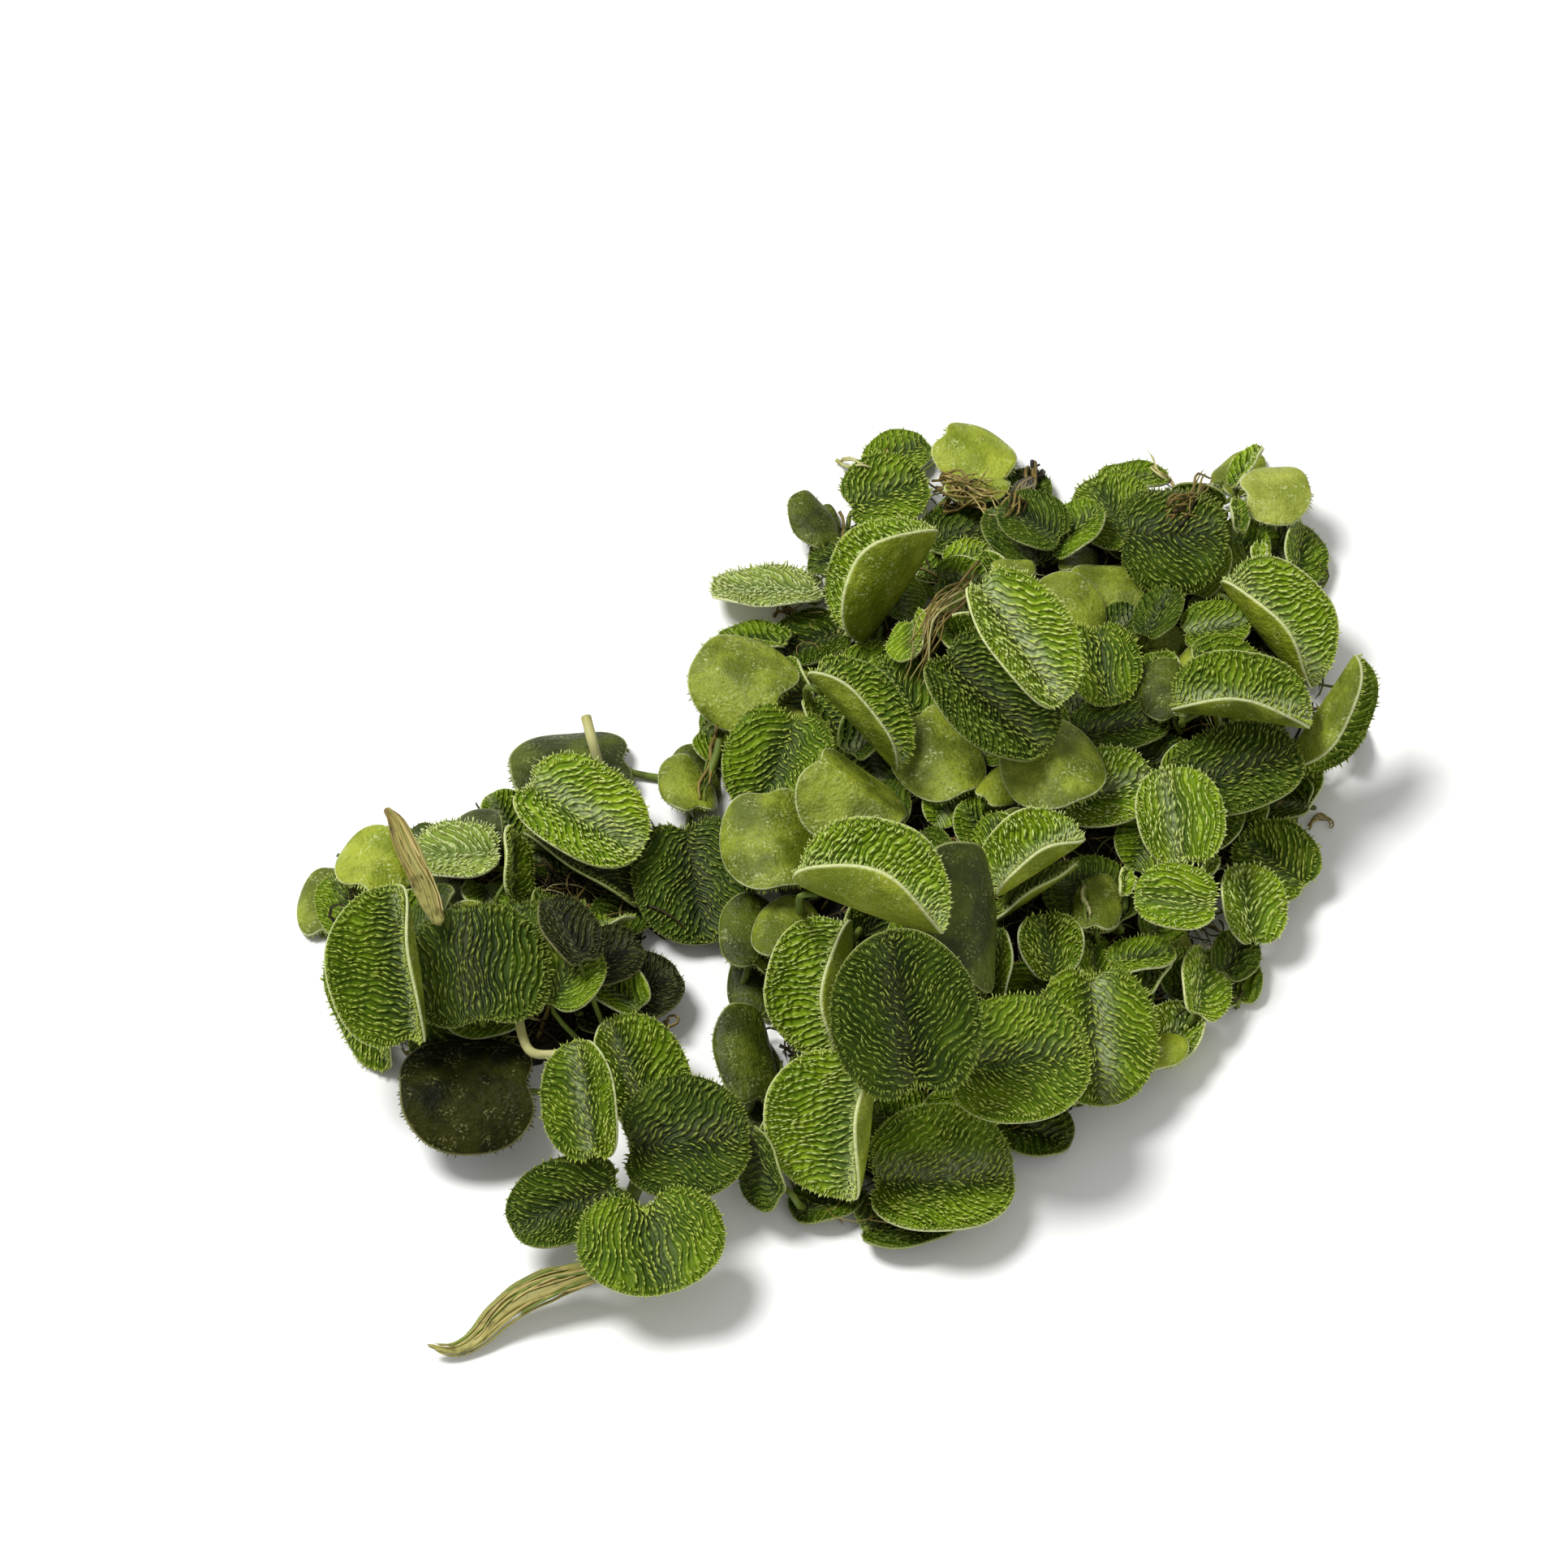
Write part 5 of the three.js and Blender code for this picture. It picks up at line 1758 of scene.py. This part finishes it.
@dataclass(frozen=True)
class Stalks:
    """The stalk behind each leaf's base, to the roots that it grows from or to the leaf behind it.

    A mat nearer than shortest takes the stalk. Farther from it the stalk runs to the knot, where that is
    nearer than knot_reach, or else to what lies behind it in the picture, up to farthest away.
    """

    radius: float = 0.4
    points: int = 10
    shortest: float = 3.5
    longest: float = 10.0
    farthest: float = 25.0
    knot_reach: float = 12.0

    base_at = -0.8
    inner_at = -0.5
    overlap = 1.2
    lowest = 0.5
    sag = 0.12
    short_leaf = 9
    thin = 0.7
    start_out = 0.35
    bend_out = 1.3
    bend_back = 0.3
    clear = 0.6

    def build(self, blades: list[Blade], mats: BVHTree, tree: BVHTree, knot: np.ndarray) -> None:
        """Makes the stalks.

        Args:
            blades: All leaves in their places.
            mats: The mats' solids.
            tree: All blades.
            knot: Where the stalks of leaves far from both mats meet.
        """
        strands = Strands(6)
        for blade in blades:
            base, inner = blade.at(np.array([self.base_at, self.inner_at]), np.zeros(2))
            out = blade.facing(np.array([self.base_at]), np.zeros(1))[0]
            away = out * (-1 if out @ VIEW.axes[2] > 0 else 1)
            back = unit(base - inner)
            start = base + away * self.start_out - back * self.overlap
            bend = base + away * self.bend_out + back * self.bend_back
            foot, normal, _, far = mats.find_nearest(Vector(bend))
            root = np.array(foot) - np.array(normal) * self.overlap
            if far > self.shortest or root[2] < 0.3:
                behind, sight = Vector(bend - VIEW.axes[2] * self.clear), Vector(-VIEW.axes[2])
                hits = [solid.ray_cast(behind, sight, self.farthest) for solid in (tree, mats)]
                hits = [(length, place) for place, _, _, length in hits if place]
                if np.linalg.norm((knot - bend)[:2]) < self.knot_reach:
                    root = knot.copy()
                elif hits:
                    root = np.array(min(hits)[1])
                elif far > self.longest:
                    root = (bend + back * 2) * [1, 1, 0]
            root[2] = max(root[2], self.lowest)
            mid = (bend + root) / 2 - [0, 0, self.sag * np.linalg.norm(bend - root)]
            mid[2] = max(mid[2], self.lowest)
            path = smooth_path(np.array([start, bend, mid, root]), self.points)
            path[:, 2] = np.maximum(path[:, 2], self.radius + 0.05)
            size = self.radius * (self.thin if blade.leaf.length < self.short_leaf else 1)
            strands.add(path[None], size * np.linspace(self.thin, 1, self.points - 1), 0)
        strands.piece("leaf_stalks", [GREEN_STEM], "stem")


@dataclass(frozen=True)
class RootBundle:
    """Roots that lie together over the heap, along points of the picture."""

    seen: tuple[tuple[float, float], ...]
    threads: int
    spread: float
    slots: tuple[int, ...] = (1, 2, 1)
    radius: float = 0.15
    fray: float = 1.0

    points = 14
    lift = 0.5
    lowest = 0.2

    def build(self, strands: Strands, tree: BVHTree, chance: np.random.Generator) -> None:
        """Adds the bundle's roots.

        Args:
            strands: The bundle that takes them.
            tree: All that they may lie on.
            chance: The source of chance.
        """
        line = smooth_path(np.array(self.seen, float), self.points)
        depths = np.array([(VIEW.first_hit(seen, tree) - VIEW.target) @ VIEW.axes[2] for seen in line])
        padded = np.pad(depths, 2, mode="edge")
        high = np.max([padded[i:i + len(line)] for i in range(5)], axis=0)
        soft = np.convolve(np.pad((high + depths) / 2, 1, mode="edge"), np.ones(3) / 3, "valid")
        path = np.array([VIEW.place(seen, depth + self.lift) for seen, depth in zip(line, soft)])
        across = unit(np.cross(unit(np.gradient(path, axis=0)), VIEW.axes[2]))
        share = np.linspace(0, 1, len(path))
        for _ in range(self.threads):
            side, high = chance.uniform(-0.5, 0.5), chance.uniform(-0.3, 0.5)
            wave = 0.25 * np.sin(share * chance.uniform(4, 16) + chance.uniform(0, 6))
            wide = (side * (0.7 + self.fray * share) + wave)[:, None] * self.spread
            start, stop = chance.integers(0, 4), chance.integers(10, len(path) + 1)
            root = (path + across * wide + VIEW.axes[2] * high * self.spread * 0.6)[start:stop]
            root[:, 2] = np.maximum(root[:, 2], self.lowest)
            radius = self.radius * chance.uniform(0.6, 1.4)
            strands.thread(root, radius, self.slots[chance.integers(len(self.slots))])


BUNDLES = (
    RootBundle(((1150, 590), (1180, 600), (1215, 612), (1240, 625)), 16, 2.2, (1, 2, 2)),
    RootBundle(((1160, 628), (1190, 612), (1230, 604)), 12, 2.4, (1, 1, 0)),
    RootBundle(((1215, 700), (1185, 728), (1150, 760), (1132, 805), (1120, 850)), 16, 1.8, (1, 2, 3), 0.14),
    RootBundle(((951, 752), (980, 745), (1018, 758)), 10, 2.0, (1, 1, 0)),
    RootBundle(((1435, 640), (1470, 612), (1500, 596)), 14, 2.6, (1, 1, 0)),
    RootBundle(((1452, 606), (1425, 580), (1402, 540)), 4, 0.7, (3, 2, 2), 0.2, 0.3),
    RootBundle(((1280, 572), (1265, 600), (1240, 640)), 12, 1.6, (1, 1, 0), 0.2),
    RootBundle(((1030, 566), (1056, 572), (1083, 574)), 3, 0.8, (3, 3, 2), 0.2, 0.3),
    RootBundle(((1330, 1080), (1336, 1110), (1345, 1150)), 4, 0.8, (4, 3, 4), 0.26, 0.3),
    RootBundle(((885, 896), (882, 925), (870, 965), (863, 998)), 5, 0.9, (4, 1, 1), 0.2, 0.5),
    RootBundle(((1612, 1022), (1618, 1010), (1630, 1006), (1640, 1012), (1636, 1020)), 5, 0.6, (1, 2),
               fray=0.3),
)


@dataclass(frozen=True)
class RootKnot:
    """The knot of roots in the middle of the loose spray, most of them near black as painted shade for the
    shadow in its gap.
    """

    seen: tuple[float, float] = (779, 1485)
    roots: int = 110
    reach: float = 3.4
    height: float = 1.2
    lowest: float = 0.15

    @property
    def middle(self) -> np.ndarray:
        """Where its middle is."""
        return VIEW.place(self.seen, 0) + VIEW.axes[2] * self.height

    def build(self, chance: np.random.Generator) -> None:
        """Makes the knot.

        Args:
            chance: The source of chance.
        """
        strands = Strands()
        for _ in range(self.roots):
            way = chance.uniform(0, math.tau)
            turn = chance.normal(0, 0.5)
            spot = self.middle + chance.normal(0, 0.9, 3) * [1, 1.3, 0.4]
            path = []
            for _ in range(9):
                path.append(spot.copy())
                step = np.array([math.cos(way), math.sin(way), chance.normal(-0.1, 0.35)])
                spot = spot + step * self.reach / 7
                way += turn
            path = np.array(path)
            path[:, 2] = np.maximum(path[:, 2], self.lowest)
            radius = chance.uniform(0.1, 0.22)
            # Most threads take the near-black root finish, painted shade for the gap.
            strands.thread(path, radius, int(chance.choice([0, 1, 4], p=[0.6, 0.2, 0.2])))
        strands.piece("spray_root_knot", STRAND_FINISHES, "root")


# The stage

@dataclass(frozen=True)
class Stage:
    """A pale table under soft light."""

    table_side: float = 6.0
    sky: float = 0.45

    def build(self) -> None:
        """Makes the table and the lights."""
        bm = bmesh.new()
        bmesh.ops.create_grid(bm, x_segments=1, y_segments=1, size=self.table_side / 2)
        mesh = mesh_of(bm, "table")
        table = bpy.data.objects.new("table", mesh)
        mesh.materials.append(TableFinish().material())
        bpy.context.scene.collection.objects.link(table)
        world = bpy.data.worlds.new("soft_sky")
        world.use_nodes = True
        world.node_tree.nodes["Background"].inputs["Color"].default_value = (1, 1, 1, 1)
        world.node_tree.nodes["Background"].inputs["Strength"].default_value = self.sky
        bpy.context.scene.world = world
        bpy.context.scene.view_settings.view_transform = "Standard"
        self.lamp("key_light", (-0.4, 0.12, 0.8), 0.36, 8.5)
        self.lamp("fill_light", (0.5, -0.7, 0.7), 0.7, 1.5)

    @staticmethod
    def lamp(name: str, place: tuple[float, float, float], side: float, power: float) -> None:
        """Adds a soft lamp that looks at the heap.

        Args:
            name: The lamp's name.
            place: Where it hangs, in metres.
            side: Its side, in metres.
            power: Its power, in watts.
        """
        data = bpy.data.lights.new(name, "AREA")
        data.shape = "DISK"
        data.size = side
        data.energy = power
        lamp = bpy.data.objects.new(name, data)
        lamp.location = place
        lamp.rotation_euler = (-Vector(place)).to_track_quat("-Z", "Y").to_euler()
        bpy.context.scene.collection.objects.link(lamp)


def joined(sheets: list[tuple[list, list]]) -> BVHTree:
    """Several sheets as one set of surfaces.

    Args:
        sheets: Each one's points and faces.

    Returns:
        Their surfaces.
    """
    points: list = []
    faces: list[tuple[int, ...]] = []
    for own_points, own_faces in sheets:
        start = len(points)
        points += [Vector(p) for p in own_points]
        faces += [tuple(start + corner for corner in face) for face in own_faces]
    return BVHTree.FromPolygons(points, faces)


MATS = tuple(
    RootMat(growth.node, fibres, growth.outline)
    for growth, fibres in ((MAIN_LEAVES, 1500), (LEFT_LEAVES, 400))
)


def main() -> None:
    """Builds the heap, sub-assembly by sub-assembly."""
    logging.basicConfig(level=logging.INFO, format="%(name)s: %(message)s")
    VIEW.camera()
    Stage().build()
    chance = np.random.default_rng(SEED)
    clusters = (SPRAY, LEFT, BACK, RIGHT, MIDDLE, FLANK, FRONT)
    laid = [(cluster, cluster.blades()) for cluster in clusters]
    large = [blade for _, blades in laid for blade in blades]
    far = 300
    table = ([(-far, -far, 0), (far, -far, 0), (far, far, 0), (-far, far, 0)], [(0, 1, 2, 3)])
    mats = joined([mat.sheet() for mat in MATS])
    ground = joined([*(mat.sheet() for mat in MATS), table])
    tree = joined([blade.outline() for blade in large])
    crowd = Crowd(large)
    growths = [(growth, growth.shown(crowd, ground)) for growth in (MAIN_LEAVES, LEFT_LEAVES)]
    for growth, blades in growths:
        blades += growth.fill(crowd, tree, ground, chance)
    little = [blade for _, blades in growths for blade in blades]
    sheets = [blade.outline(9) for blade in little] + [blade.outline() for blade in large]
    tree = joined(sheets)
    for cluster, blades in laid:
        cluster.build(blades, tree)
    for growth, blades in growths:
        growth.build(blades, tree, chance)
    for mat in MATS:
        mat.build(mat.solid(), chance)
    for strand in STRANDS:
        strand.build(chance)
    knot = RootKnot()
    knot.build(chance)
    Stalks().build(large + little, mats, tree, knot.middle)
    roots = Strands(4)
    ground = joined([*sheets, *(mat.sheet() for mat in MATS), table])
    for bundle in BUNDLES:
        bundle.build(roots, ground, chance)
    roots.piece("root_bundles", STRAND_FINISHES, "root")


if __name__ == "__main__":
    main()
